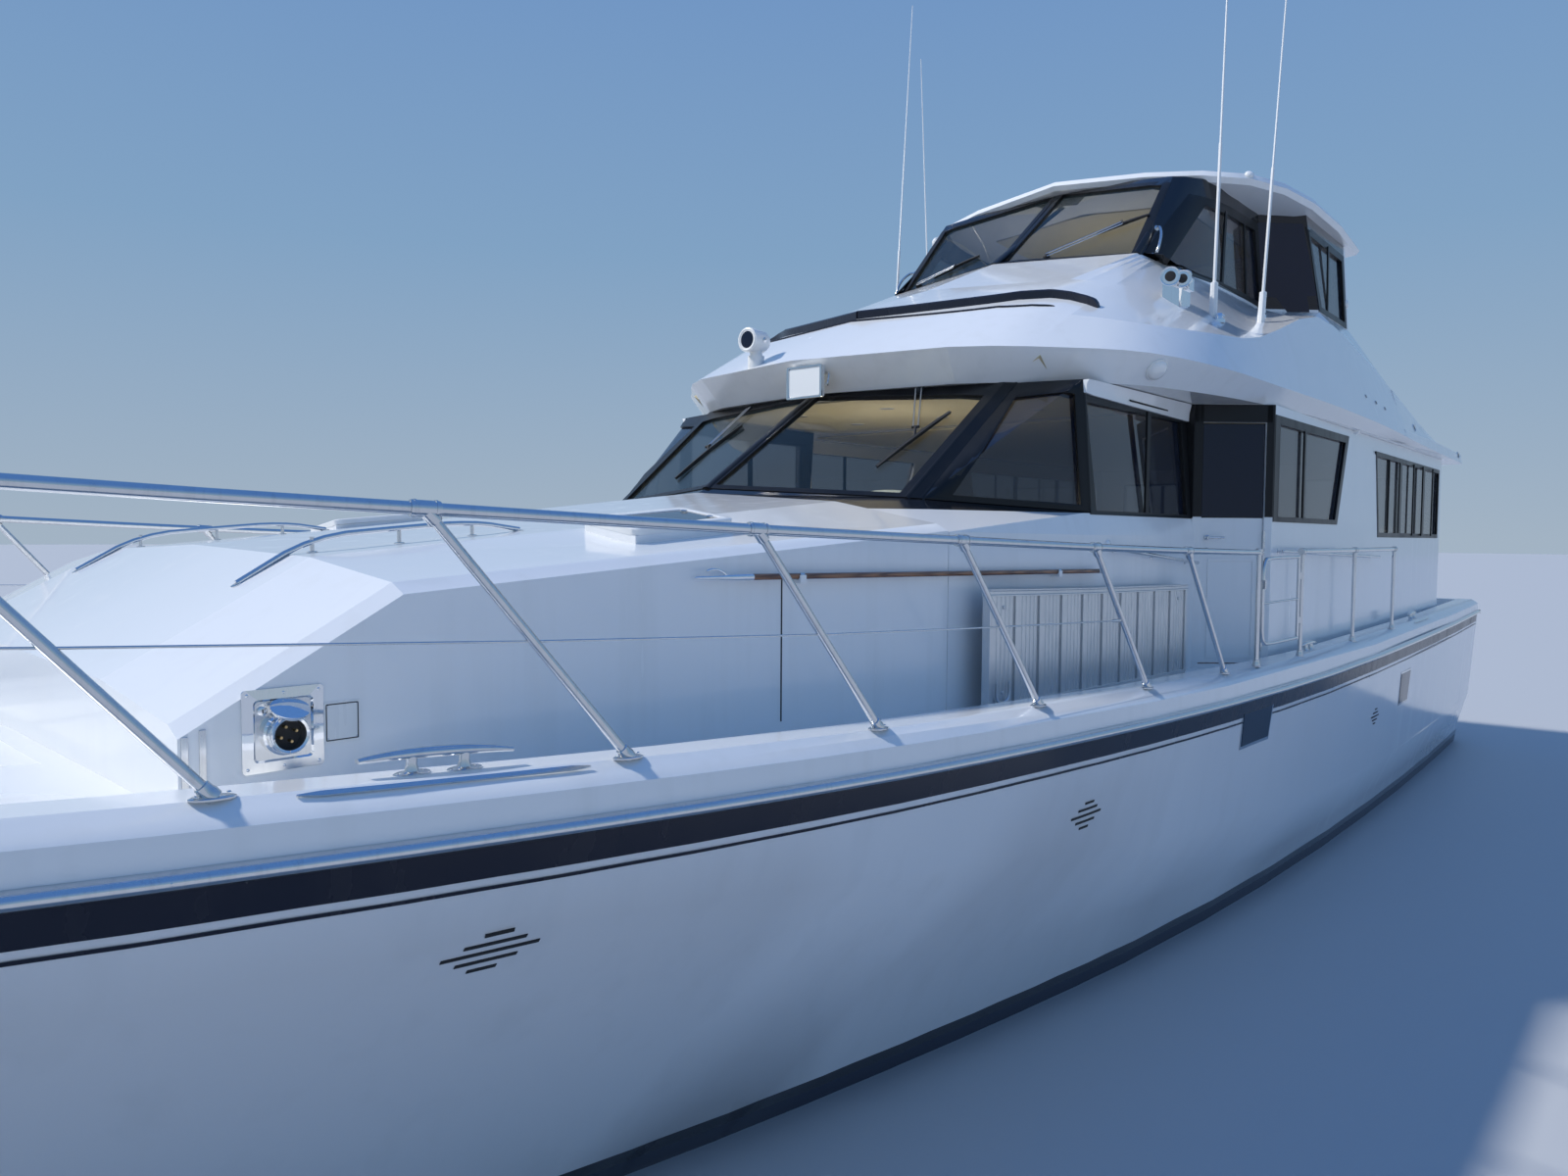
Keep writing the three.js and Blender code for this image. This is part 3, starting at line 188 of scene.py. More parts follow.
def feed(tree, node, values):
    # a number or a colour is set on its socket, an output is linked to it
    for index, value in values.items():
        if isinstance(value, (int, float, tuple)):
            node.inputs[index].default_value = value
        elif value is not None:
            tree.links.new(value, node.inputs[index])


def joinMath(tree, operation, a, b=None, clamp=False):
    node = addNode(tree, "ShaderNodeMath", operation=operation, use_clamp=clamp)
    feed(tree, node, {0: a, 1: b})
    return node.outputs[0]


def mixColours(tree, factor, a, b):
    node = addNode(tree, "ShaderNodeMix", data_type="RGBA")
    feed(tree, node, {0: factor, 6: a, 7: b})
    return node.outputs[2]


def noiseOf(tree, place, scale, detail=3.0):
    noise = addNode(tree, "ShaderNodeTexNoise", {"Detail": detail})
    feed(tree, noise, {"Scale": scale, "Vector": place})
    return noise.outputs["Fac"]


def addRelief(tree, height, strength, distance):
    relief = addNode(tree, "ShaderNodeBump", {"Strength": strength, "Distance": distance})
    tree.links.new(height, relief.inputs["Height"])
    tree.links.new(relief.outputs[0], tree.nodes["Principled BSDF"].inputs["Normal"])


def makeWeathering():
    # slow cloudiness, water streaks and fine specks, for paint, gelcoat and metal
    group, given, result = newGroup(
        "weathering",
        [("Place", "NodeSocketVector", None), ("Cloud Scale", "NodeSocketFloat", 1.4),
         ("Streak Scale", "NodeSocketFloat", 9.0), ("Speck Scale", "NodeSocketFloat", 260.0)],
        ["Cloud", "Streaks", "Specks"],
    )
    place = given.outputs["Place"]
    group.links.new(noiseOf(group, place, given.outputs["Cloud Scale"]), result.inputs["Cloud"])
    stretch = addNode(group, "ShaderNodeMapping", {"Scale": (1, 1, 0.07)})
    group.links.new(place, stretch.inputs["Vector"])
    streak = noiseOf(group, stretch.outputs[0], given.outputs["Streak Scale"], 4.0)
    rise = addNode(group, "ShaderNodeMapRange", {"From Min": 0.52, "From Max": 0.82})
    group.links.new(streak, rise.inputs["Value"])
    group.links.new(rise.outputs[0], result.inputs["Streaks"])
    group.links.new(noiseOf(group, place, given.outputs["Speck Scale"], 1.0), result.inputs["Specks"])
    return group


def makeGrain():
    # long fibres along one axis, for varnished wood and teak
    group, given, result = newGroup(
        "woodGrain",
        [("Place", "NodeSocketVector", None), ("Scale", "NodeSocketFloat", 14.0)],
        ["Fibres", "Rings"],
    )
    stretch = addNode(group, "ShaderNodeMapping", {"Scale": (0.08, 1, 1)})
    group.links.new(given.outputs["Place"], stretch.inputs["Vector"])
    group.links.new(noiseOf(group, stretch.outputs[0], given.outputs["Scale"], 6.0), result.inputs["Fibres"])
    wave = addNode(group, "ShaderNodeTexWave", {"Distortion": 6.0}, bands_direction="Y")
    group.links.new(given.outputs["Scale"], wave.inputs["Scale"])
    group.links.new(stretch.outputs[0], wave.inputs["Vector"])
    group.links.new(wave.outputs["Fac"], result.inputs["Rings"])
    return group


weathering = makeWeathering()
woodGrain = makeGrain()


# Finishes

def startFinish(name, colour, roughness, metallic=0.0):
    material = bpy.data.materials.new(name)
    material.use_nodes = True
    tree = material.node_tree
    shader = tree.nodes["Principled BSDF"]
    put(shader, {"Base Color": (*colour, 1), "Roughness": roughness, "Metallic": metallic})
    place = addNode(tree, "ShaderNodeTexCoord").outputs["Object"]
    return material, tree, shader, place


def resumeFinish(material):
    tree = material.node_tree
    place = next(n for n in tree.nodes if n.type == "TEX_COORD")
    return tree, tree.nodes["Principled BSDF"], place.outputs["Object"]


def weathered(name, colour, soiled, roughness, metallic=0.0, wear=0.35, scales=(1.4, 9.0, 260.0), bump=0.0,
              coat=0.0):
    material, tree, shader, place = startFinish(name, colour, roughness, metallic)
    group = addNode(tree, "ShaderNodeGroup", node_tree=weathering)
    tree.links.new(place, group.inputs["Place"])
    put(group, dict(zip(("Cloud Scale", "Streak Scale", "Speck Scale"), scales)))
    cloud, streaks, specks = group.outputs
    dirt = joinMath(tree, "MULTIPLY", streaks, wear)
    dirt = joinMath(tree, "ADD", dirt, joinMath(tree, "MULTIPLY", cloud, wear * 0.5), True)
    tree.links.new(mixColours(tree, dirt, (*colour, 1), (*soiled, 1)), shader.inputs["Base Color"])
    rough = joinMath(tree, "MULTIPLY_ADD", cloud, roughness * 0.7)
    rough.node.inputs[2].default_value = roughness * 0.65
    rough = joinMath(tree, "ADD", rough, joinMath(tree, "MULTIPLY", streaks, 0.12))
    tree.links.new(rough, shader.inputs["Roughness"])
    if bump:
        addRelief(tree, specks, bump, 0.002)
    put(shader, {"Coat Weight": coat, "Coat Roughness": 0.04})
    return material


def glazing(name, colour, clear, edge):
    # tinted glass: seen through face on, and a mirror at a glancing angle
    material, tree, shader, _ = startFinish(name, colour, 0.02)
    put(shader, {"Specular IOR Level": 0.75, "Coat Weight": 0.5, "Coat Roughness": 0.01})
    facing = addNode(tree, "ShaderNodeLayerWeight", {"Blend": 0.2})
    span = addNode(tree, "ShaderNodeMapRange", {"To Min": 1 - clear, "To Max": edge})
    tree.links.new(facing.outputs["Facing"], span.inputs["Value"])
    tree.links.new(span.outputs[0], shader.inputs["Alpha"])
    return material


def wooden(name, light, dark, roughness, scale, coat=0.4):
    material, tree, shader, place = startFinish(name, light, roughness)
    group = addNode(tree, "ShaderNodeGroup", node_tree=woodGrain)
    group.inputs["Scale"].default_value = scale
    tree.links.new(place, group.inputs["Place"])
    share = joinMath(tree, "MULTIPLY", group.outputs["Fibres"], group.outputs["Rings"])
    share = joinMath(tree, "MULTIPLY", share, 1.9, True)
    tree.links.new(mixColours(tree, share, (*light, 1), (*dark, 1)), shader.inputs["Base Color"])
    addRelief(tree, group.outputs["Fibres"], 0.2, 0.001)
    shader.inputs["Coat Weight"].default_value = coat
    return material


def gratedDeck(name):
    # moulded gripping texture on the walking surfaces
    material = weathered(name, (0.86, 0.87, 0.86), (0.62, 0.62, 0.58), 0.34, wear=0.3)
    tree, _, place = resumeFinish(material)
    cells = addNode(tree, "ShaderNodeTexVoronoi", {"Scale": 210})
    tree.links.new(place, cells.inputs["Vector"])
    addRelief(tree, cells.outputs["Distance"], 0.5, 0.0015)
    return material


def hullPaintAndShade(name):
    # hull gelcoat above the boot top, tinted blue-grey as painted shade and sky reflection on the white side; a
    # dark boot top and dull bottom paint below it, which also paint the shade along the water
    # colour and soiled colour are white gelcoat shifted to blue-grey: painted shade and reflected sky
    material = weathered(name, (0.83, 0.85, 0.87), (0.6, 0.62, 0.62), 0.16, wear=0.22, scales=(0.5, 5, 300),
                         coat=0.6)
    tree, shader, place = resumeFinish(material)
    split = addNode(tree, "ShaderNodeSeparateXYZ")
    tree.links.new(place, split.inputs[0])
    # two dark bands along the hull's foot, boot top and bottom paint, which also paint the shade along the water
    for height, colour, rough in ((0.17, (0.012, 0.014, 0.02), 0.2), (0.1, (0.02, 0.03, 0.06), 0.75)):
        below = joinMath(tree, "LESS_THAN", split.outputs["Z"], height)
        paint = shader.inputs["Base Color"].links[0].from_socket
        tree.links.new(mixColours(tree, below, paint, (*colour, 1)), shader.inputs["Base Color"])
        gloss = shader.inputs["Roughness"].links[0].from_socket
        share = joinMath(tree, "MULTIPLY", below, rough)
        tree.links.new(joinMath(tree, "MAXIMUM", gloss, share), shader.inputs["Roughness"])
    return material


def bandPainted(name, foot, aft=-40.0):
    # white moulding with a black window band above its foot line, ahead of the aft pillar
    material = weathered(name, *gelcoatLook, wear=0.22, coat=0.3)
    tree, shader, place = resumeFinish(material)
    split = addNode(tree, "ShaderNodeSeparateXYZ")
    tree.links.new(place, split.inputs[0])
    above = joinMath(tree, "MULTIPLY", joinMath(tree, "GREATER_THAN", split.outputs["Z"], foot),
                     joinMath(tree, "GREATER_THAN", split.outputs["X"], aft))
    paint = shader.inputs["Base Color"].links[0].from_socket
    tree.links.new(mixColours(tree, above, paint, (0.007, 0.0075, 0.01, 1)), shader.inputs["Base Color"])
    return material


gelcoatLook = (0.87, 0.88, 0.88), (0.66, 0.66, 0.62), 0.17
finishes = {
    "gelcoat": weathered("gelcoat", *gelcoatLook, wear=0.22, coat=0.5),
    "hullGelcoat": hullPaintAndShade("hullGelcoat"),
    "wheelhouseBand": bandPainted("wheelhouseBand", 2.992),
    "upperBand": bandPainted("upperBand", 5.14, -6.09),
    "deckGrip": gratedDeck("deckGrip"),
}
# colour, soiled colour, roughness, metallic, and then what differs from the usual
weatheredLooks = {
    "whitePaint": ((0.86, 0.86, 0.84), (0.6, 0.59, 0.54), 0.28, 0, {"wear": 0.3}),
    "stainless": ((0.72, 0.73, 0.74), (0.45, 0.46, 0.47), 0.13, 1, {"scales": (7, 60, 900)}),
    "chrome": ((0.86, 0.87, 0.88), (0.6, 0.6, 0.6), 0.05, 1, {"wear": 0.2, "scales": (20, 90, 900)}),
    "aluminium": ((0.72, 0.73, 0.74), (0.5, 0.5, 0.5), 0.34, 1, {"scales": (6, 80, 1200), "bump": 0.1}),
    "blackFrame": ((0.006, 0.0065, 0.008), (0.02, 0.02, 0.02), 0.34, 0, {"wear": 0.3}),
    "blackRubber": ((0.02, 0.02, 0.021), (0.07, 0.07, 0.07), 0.6, 0, {"wear": 0.5, "bump": 0.2}),
    "darkPanel": ((0.004, 0.009, 0.026), (0.008, 0.014, 0.03), 0.08, 0, {"wear": 0.2, "coat": 0.15}),
    "stripe": ((0.014, 0.014, 0.024), (0.03, 0.03, 0.04), 0.25, 0, {"wear": 0.2}),
    "headliner": ((0.66, 0.58, 0.38), (0.5, 0.44, 0.3), 0.8, 0, {"wear": 0.3, "bump": 0.3}),
    "creamVinyl": ((0.74, 0.77, 0.6), (0.6, 0.62, 0.5), 0.55, 0, {"wear": 0.2, "bump": 0.3}),
    "carpet": ((0.3, 0.27, 0.22), (0.2, 0.18, 0.15), 0.95, 0, {"wear": 0.5, "bump": 0.8}),
    "bronze": ((0.55, 0.38, 0.18), (0.3, 0.3, 0.2), 0.3, 1, {"wear": 0.6, "scales": (6, 40, 500)}),
    "lens": ((0.9, 0.9, 0.88), (0.8, 0.8, 0.78), 0.12, 0, {"wear": 0.1, "coat": 1.0}),
    "amberLens": ((0.5, 0.08, 0.03), (0.4, 0.06, 0.03), 0.15, 0, {"wear": 0.1, "coat": 1.0}),
}
# tint, how clear it is face on, and how solid at a glancing angle
glassLooks = {
    "clearGlass": ((0.02, 0.035, 0.04), 0.93, 0.7),
    "smokedGlass": ((0.006, 0.012, 0.03), 0.5, 1.0),
    "acrylic": ((0.012, 0.018, 0.03), 0.12, 1.0),
}
# light and dark fibres, roughness, scale and coat
woodLooks = {
    "varnish": ((0.3, 0.13, 0.055), (0.11, 0.04, 0.018), 0.25, 26, 0.4),
    "teak": ((0.42, 0.3, 0.19), (0.28, 0.19, 0.12), 0.6, 30, 0.0),
    "joinery": ((0.13, 0.055, 0.028), (0.05, 0.02, 0.012), 0.3, 10, 0.4),
}
for name, (*look, rest) in weatheredLooks.items():
    finishes[name] = weathered(name, *look, **rest)
for name, look in glassLooks.items():
    finishes[name] = glazing(name, *look)
for name, look in woodLooks.items():
    finishes[name] = wooden(name, *look)


def layFloor():
    half = view["floor"]
    mesh = bpy.data.meshes.new("floor")
    corners = [(x * half, y * half, 0) for x, y in ((-1, -1), (1, -1), (1, 1), (-1, 1))]
    mesh.from_pydata(corners, [], [(0, 1, 2, 3)])
    floor = showObject("floor", mesh)
    mesh.materials.append(startFinish("studioFloor", (0.5, 0.51, 0.52), 0.55)[0])


aimCamera()
lightRoom()
layFloor()
print("camera, light and floor ready")


# Tools for making pieces

def crosswise(way):
    return (upward if abs(way.z) < 0.9 else forward).cross(way).normalized()


def ringAround(centre, axis, radius, sides, start=0.5):
    axis = Vector(axis).normalized()
    u = crosswise(axis)
    v = axis.cross(u)
    angles = [2 * math.pi * (i + start) / sides for i in range(sides)]
    return [Vector(centre) + u * radius * math.cos(t) + v * radius * math.sin(t) for t in angles]


class Shape:
    # gathers the faces of one piece; each face keeps the number of its finish

    def __init__(self):
        self.verts = []
        self.faces = []
        self.marks = []

    def add(self, verts, faces, mark=0):
        base = len(self.verts)
        self.verts += [Vector(v) for v in verts]
        self.faces += [[base + i for i in face] for face in faces]
        self.marks += [mark] * len(faces)
        return self

    def loft(self, rings, mark=0):
        # a closed skin through the rings, capped at both ends
        n = len(rings[0])
        last = (len(rings) - 1) * n
        faces = [[r + i, r + (i + 1) % n, r + n + (i + 1) % n, r + n + i]
                 for r in range(0, last, n) for i in range(n)]
        faces += [list(reversed(range(n))), [last + i for i in range(n)]]
        return self.add([p for ring in rings for p in ring], faces, mark)

    def collar(self, loops, mark=0):
        # a closed frame through loops of points, the last joined to the first
        n = len(loops[0])
        whole = len(loops) * n
        faces = [[r + i, r + (i + 1) % n, (r + n) % whole + (i + 1) % n, (r + n) % whole + i]
                 for r in range(0, whole, n) for i in range(n)]
        return self.add([p for loop in loops for p in loop], faces, mark)

    def lathe(self, profile, origin, axis, sides=24, mark=0):
        # profile pairs are distance along the axis and radius
        origin, way = Vector(origin), Vector(axis).normalized()
        return self.loft([ringAround(origin + way * d, way, max(r, 1e-5), sides) for d, r in profile], mark)

    def rod(self, a, b, radius, sides=14, mark=0):
        a, b = Vector(a), Vector(b)
        return self.lathe([(0, radius), ((b - a).length, radius)], a, b - a, sides, mark)

    def tube(self, points, radius, sides=14, mark=0):
        path = [Vector(p) for p in points]
        u = crosswise((path[1] - path[0]).normalized())
        rings = []
        for k, point in enumerate(path):
            before = (point - path[max(k - 1, 0)]).normalized()
            after = (path[min(k + 1, len(path) - 1)] - point).normalized()
            way = (before + after).normalized()
            u = (u - way * u.dot(way)).normalized()
            v = way.cross(u)
            rings.append([point + (u * math.cos(t) + v * math.sin(t)) * radius for t in turns(sides)])
        return self.loft(rings, mark)

    def slab(self, outline, push, mark=0):
        low = [Vector(p) for p in outline]
        return self.loft([low, [p + Vector(push) for p in low]], mark)

    def box(self, a, b, mark=0):
        (x0, x1), (y0, y1), (z0, z1) = (sorted(pair) for pair in zip(a, b))
        ring = [(x0, y0, z0), (x1, y0, z0), (x1, y1, z0), (x0, y1, z0)]
        return self.slab(ring, (0, 0, z1 - z0), mark)

    def sheet(self, rows, thickness, mark=0, lift=0.0):
        # a skin laid over rows of (point, normal), standing lift to lift + thickness off the surface
        rings = []
        for row in rows:
            low = [p + n * lift for p, n in row]
            high = [p + n * (lift + thickness) for p, n in row]
            rings.append(low + high[::-1])
        return self.loft(rings, mark)

    def stud(self, place, way, radius, rise, mark=0, sides=8):
        # a low domed head, sunk a little into what carries it
        profile = [(-rise, radius), (0, radius), (rise * 0.7, radius * 0.72), (rise, radius * 0.2)]
        return self.lathe(profile, place, way, sides, mark)

    def mirrored(self):
        other = Shape()
        other.verts = [Vector((v.x, -v.y, v.z)) for v in self.verts]
        other.faces = [list(reversed(face)) for face in self.faces]
        other.marks = list(self.marks)
        return other

    def build(self, name, finish, body="boat", bevel=0.0, angle=32, stands=None):
        mesh = bpy.data.meshes.new(name)
        mesh.from_pydata([tuple(v) for v in self.verts], [], self.faces)
        for key in (finish if isinstance(finish, list) else [finish]):
            mesh.materials.append(finishes[key])
        mesh.polygons.foreach_set("material_index", self.marks)
        mesh.polygons.foreach_set("use_smooth", [True] * len(self.faces))
        mesh.update()
        mesh.validate()
        faced = bmesh.new()
        faced.from_mesh(mesh)
        bmesh.ops.recalc_face_normals(faced, faces=faced.faces)
        faced.to_mesh(mesh)
        faced.free()
        mesh.set_sharp_from_angle(angle=math.radians(angle))
        piece = showObject(name, mesh)
        if bevel:
            soften(piece, bevel, 2, 40)
        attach(piece, body)
        if stands:
            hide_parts(stands)


def soften(piece, width, segments, angle):
    bevel = piece.modifiers.new("softEdges", "BEVEL")
    bevel.width = width
    bevel.segments = segments
    bevel.limit_method = "ANGLE"
    bevel.angle_limit = math.radians(angle)
    bevel.use_clamp_overlap = True
    bevel.harden_normals = True


def buildPair(shape, name, finish, bodies=("boat", "boat"), stands=None, **options):
    for (word, sign), body in zip(sides, bodies):
        side = shape if sign == 1 else shape.mirrored()
        side.build(f"{name}_{word}", finish, body, stands=stands and f"{stands}_{word}", **options)


# Mouldings keep their solid and take a finish, merged faces and softened edges

def dress(node, finish, edge, angle, crisp=False, flat=1.0):
    piece = nodes[node]
    piece.data.materials.clear()
    piece.data.materials.append(finishes[finish])
    piece.data.polygons.foreach_set("use_smooth", [True] * len(piece.data.polygons))
    weld = piece.modifiers.new("weld", "WELD")
    weld.merge_threshold = 0.00004
    merge = piece.modifiers.new("mergeFaces", "DECIMATE")
    merge.decimate_type = "DISSOLVE"
    merge.angle_limit = math.radians(flat)
    if edge:
        soften(piece, edge, 1 if crisp else 3, angle)
    if edge and not crisp:
        even = piece.modifiers.new("evenShading", "WEIGHTED_NORMAL")
        even.keep_sharp = False
        even.weight = 80
    else:
        split = piece.modifiers.new("crispChamfer" if crisp else "sharpEdges", "EDGE_SPLIT")
        split.split_angle = math.radians(4 if crisp else angle)


# finish, width of the soft edge, least angle that is an edge, and for two of them a crisp edge or the flat angle
mouldings = {
    "hull": ("hullGelcoat", 0.006, 30), "deck_moulding": ("gelcoat", 0.012, 24),
    "trunk_cabin": ("gelcoat", 0.036, 10, True), "wheelhouse": ("wheelhouseBand", 0.014, 12),
    "salon_house": ("gelcoat", 0.012, 24), "bridge_moulding": ("gelcoat", 0.014, 12, False, 0.02),
    "upper_house": ("upperBand", 0.01, 24), "hardtop": ("gelcoat", 0.0, 30), "helm_console": ("joinery", 0.02, 30),
    "swim_platform": ("gelcoat", 0.015, 30), "aft_door": ("gelcoat", 0.004, 30),
    "side_door_port": ("wheelhouseBand", 0.004, 30), "side_door_starboard": ("wheelhouseBand", 0.004, 30),
    "shore_inlet": ("stainless", 0.0, 40), "anchor": ("stainless", 0.004, 30), "horns": ("chrome", 0.0, 40),
}
# finish of other nodes by the start of their names, and smoked glass for the panes that are left
plainFinishes = {
    "windshield": "clearGlass", "upper_windshield": "clearGlass", "antenna": "whitePaint",
    "searchlight": "whitePaint", "propeller": "bronze", "rudder": "bronze",
}
for name in nodes:
    start = next((start for start in plainFinishes if name.startswith(start)), None)
    if name not in mouldings and (start or "glass" in name):
        mouldings[name] = (plainFinishes.get(start, "smokedGlass"), 0.0, 40)
for name, look in mouldings.items():
    dress(name, *look)
for name in ("blackFrame", "wheelhouseBand", "upperBand", "blackRubber", "darkPanel"):
    put(finishes[name].node_tree.nodes["Principled BSDF"], {"Specular IOR Level": 0.3})
print("mouldings dressed")


# Gunwale, read from the deck moulding: half-breadth of the side and height of the cap

def readGunwale(s):
    inside, outside = 0.0, 3.2
    for _ in range(14):
        middle = (inside + outside) / 2
        try:
            topOf("deck_moulding", s, middle)
            inside = middle
        except ValueError:
            outside = middle
    return inside, topOf("deck_moulding", s, max(inside - 0.15, 0))[0].z


gunwalePlaces = steps(0.02, 21.36, 120)
gunwaleRows = [readGunwale(s) for s in gunwalePlaces]


def gunwale(s):
    span = gunwalePlaces[1] - gunwalePlaces[0]
    k = min(max((s - gunwalePlaces[0]) / span, 0), len(gunwalePlaces) - 1.001)
    i = int(k)
    return tuple(mix(a, b, k - i) for a, b in zip(gunwaleRows[i], gunwaleRows[i + 1]))


def rounded(points, rounds=2):
    # corner cutting that keeps both ends
    path = [Vector(p) for p in points]
    for _ in range(rounds):
        cut = [path[0]]
        for a, b in zip(path, path[1:]):
            cut += [a.lerp(b, 0.25), a.lerp(b, 0.75)]
        path = cut + [path[-1]]
    return path


# Rub rail at the joint of hull and deck, with the bands under it

trim = {
    "jointDrop": 0.168, "railHalf": 0.025, "railOut": 0.04, "start": 0.42, "end": 21.36, "sternEnd": 21.4006,
    "arc": (-90, -68, -45, -22, 0, 22, 45, 68, 90), "screwStep": 0.29, "screwStart": 0.1, "screwSunk": 0.0034,
    "bandGap": 0.004, "bandDeep": 0.1, "lineGap": 0.028, "lineDeep": 0.011, "bandStart": 0.45, "bandEnd": 21.3,
}


def makeRubRail():
    rail = Shape()
    arc = [(math.cos(a) * trim["railOut"], math.sin(a) * trim["railHalf"]) for a in map(math.radians, trim["arc"])]
    rings = []
    for s in steps(trim["start"], trim["end"], 110):
        sheer, cap = gunwale(s)
        rings.append([at(s, sheer + 0.0006 + out, cap - trim["jointDrop"] + rise) for out, rise in arc])
    rail.loft(rings)
    for k in range(int((trim["end"] - trim["start"]) / trim["screwStep"])):
        s = trim["start"] + trim["screwStart"] + k * trim["screwStep"]
        sheer, cap = gunwale(s)
        place = at(s, sheer + trim["railOut"] - trim["screwSunk"], cap - trim["jointDrop"])
        rail.stud(place, outboard, 0.007, 0.003)
    both = Shape()
    for side in (rail, rail.mirrored()):
        both.add(side.verts, side.faces)
    sheer, cap = gunwale(trim["end"])
    both.loft([[at(trim["sternEnd"] + out, y, cap - trim["jointDrop"] + rise) for out, rise in arc]
               for y in steps(-sheer - 0.03, sheer + 0.03, 9)])
    both.build("rubRail", "stainless", angle=50, stands="rub_rail")


def hullBand(name, top, deep):
    # a thin band on the topsides, its top edge a distance below the joint; rows stand closer near the bow
    rows = []
    for t in steps(0, 1, 150):
        s = mix(trim["bandStart"], trim["bandEnd"], t ** 1.6)
        z = gunwale(s)[1] - trim["jointDrop"] - top
        rows.append([sideOf("hull", s, h) for h in steps(z, z - deep, 4)])
    buildPair(Shape().sheet(rows, 0.002, lift=0.0022), name, "stripe")


makeRubRail()
bandTop = trim["railHalf"] + trim["bandGap"]
hullBand("railBand", bandTop, trim["bandDeep"])
hullBand("pinstripe", bandTop + trim["bandDeep"] + trim["lineGap"], trim["lineDeep"])
print("rub rail and bands made")


# Rails: bow rail, side rails and boarding gates

rails = {
    "height": 0.783, "bowRise": 0.033, "bowReach": 5.0, "lean": 0.644, "radius": 0.019, "postRadius": 0.0155,
    "first": 0.302, "step": 1.174, "count": 10, "inset": 0.085, "least": 0.28, "end": 11.48, "footLift": 0.006,
    "gateAft": 12.48, "sidePosts": (12.48, 14.05, 15.62), "sleeve": 0.0235, "wire": 0.004, "wireEnd": 9,
    "bowHead": (-0.33, 0.25), "bowTip": -0.425,
}
footProfile = [(-0.004, 0.024), (0.012, 0.024), (0.02, 0.021), (0.038, 0.0205), (0.04, 0.017)]
gate = {
    "low": 2.1, "high": 2.7, "front": 11.57, "back": 12.4, "radius": 0.0125, "middle": 2.39, "thin": 0.008,
    "hinges": (2.23, 2.56), "latch": (2.49, 2.55),
}


def railY(s):
    return max(gunwale(s)[0] - rails["inset"], rails["least"])


def footY(s):
    return min(railY(s), gunwale(s)[0] - rails["inset"])


def footAt(s):
    return at(s, footY(s), gunwale(s)[1] + rails["footLift"])


def railTop(s):
    rise = rails["bowRise"] * max(0, 1 - s / rails["bowReach"])
    return at(s, railY(s), gunwale(s + rails["lean"])[1] + rails["height"] + rise)


def addFoot(shape, foot, way, long=0.058, wide=0.031):
    # oval base plate with a collar and two screws
    plate = []
    for lift, shrink in ((0.0005, 1), (0.005, 1), (0.0075, 0.9)):
        spots = [(foot.x + long * shrink * math.cos(t), foot.y + wide * shrink * math.sin(t)) for t in turns(20)]
        plate.append([Vector((x, y, gunwale(hullLength / 2 - x)[1] + lift)) for x, y in spots])
    shape.loft(plate)
    shape.lathe(footProfile, foot, way, 16)
    for side in (-1, 1):
        shape.stud(foot + Vector((side * long * 0.68, 0, 0.0075)), upward, 0.006, 0.002)


def addSleeve(shape, place, way, long=0.085):
    # a fitting round the rail with a bead near each end
    r, half = rails["sleeve"], long / 2
    core = [(-half, r), (-half + 0.004, r + 0.001), (half - 0.004, r + 0.001), (half, r)]
    shape.lathe([(-half, rails["radius"]), *core, (half, rails["radius"])], place, way, 16)
    for end in (-1, 1):
        bead = [(-0.003, r), (-0.003, r + 0.003), (0.003, r + 0.003), (0.003, r)]
        shape.lathe(bead, place + Vector(way).normalized() * end * half * 0.72, way, 16)


def makeBowRail():
    shape = Shape()
    lean, end, tip = rails["lean"], rails["end"], rails["bowTip"]
    high = gunwale(0)[1] + rails["height"] + rails["bowRise"]
    bowHead = at(*rails["bowHead"], high)
    bend = rounded([at(0, railY(0), high), bowHead, at(tip, 0.09, high), at(tip, 0.0003, high)], 3)
    shape.tube([railTop(s) for s in steps(end, 0.0, 40)] + bend[1:], rails["radius"], 16)
    middles = []
    for k in range(rails["count"]):
        s = rails["first"] + k * rails["step"]
        foot = footAt(s)
        head = railTop(s - lean) if s > lean else bowHead
        way = (head - foot).normalized()
        shape.rod(foot, head - way * 0.012, rails["postRadius"])
        shape.lathe([(-0.05, 0.0205), (-0.046, 0.022), (-0.012, 0.022)], head, way, 14)
        addFoot(shape, foot, way)
        if s > lean:
            addSleeve(shape, head, railTop(s - lean - 0.1) - railTop(s - lean + 0.1))
        middles.append(foot.lerp(head, 0.5))
    foot, head = footAt(end), railTop(end)
    shape.rod(foot, head, rails["postRadius"])
    addFoot(shape, foot, upward, 0.04)
    shape.lathe([(-0.02, 0.022), (0.022, 0.022), (0.026, 0.016)], head, upward, 16)
    addSleeve(shape, at(tip, 0.03, high), outboard, 0.059)
    middles = middles[:rails["wireEnd"]]
    for a, b in zip(middles, middles[1:]):
        shape.rod(a, b, rails["wire"], 8)
    for place in middles:
        shape.lathe([(-0.014, 0.007), (0.014, 0.007)], place, forward, 8)
    turnbuckle = [(0, 0.005), (0.02, 0.009), (0.1, 0.009), (0.13, 0.004)]
    shape.lathe(turnbuckle, middles[-1], middles[-2] - middles[-1], 10)
    buildPair(shape, "bowRail", "stainless", stands="bow_rail", angle=50)


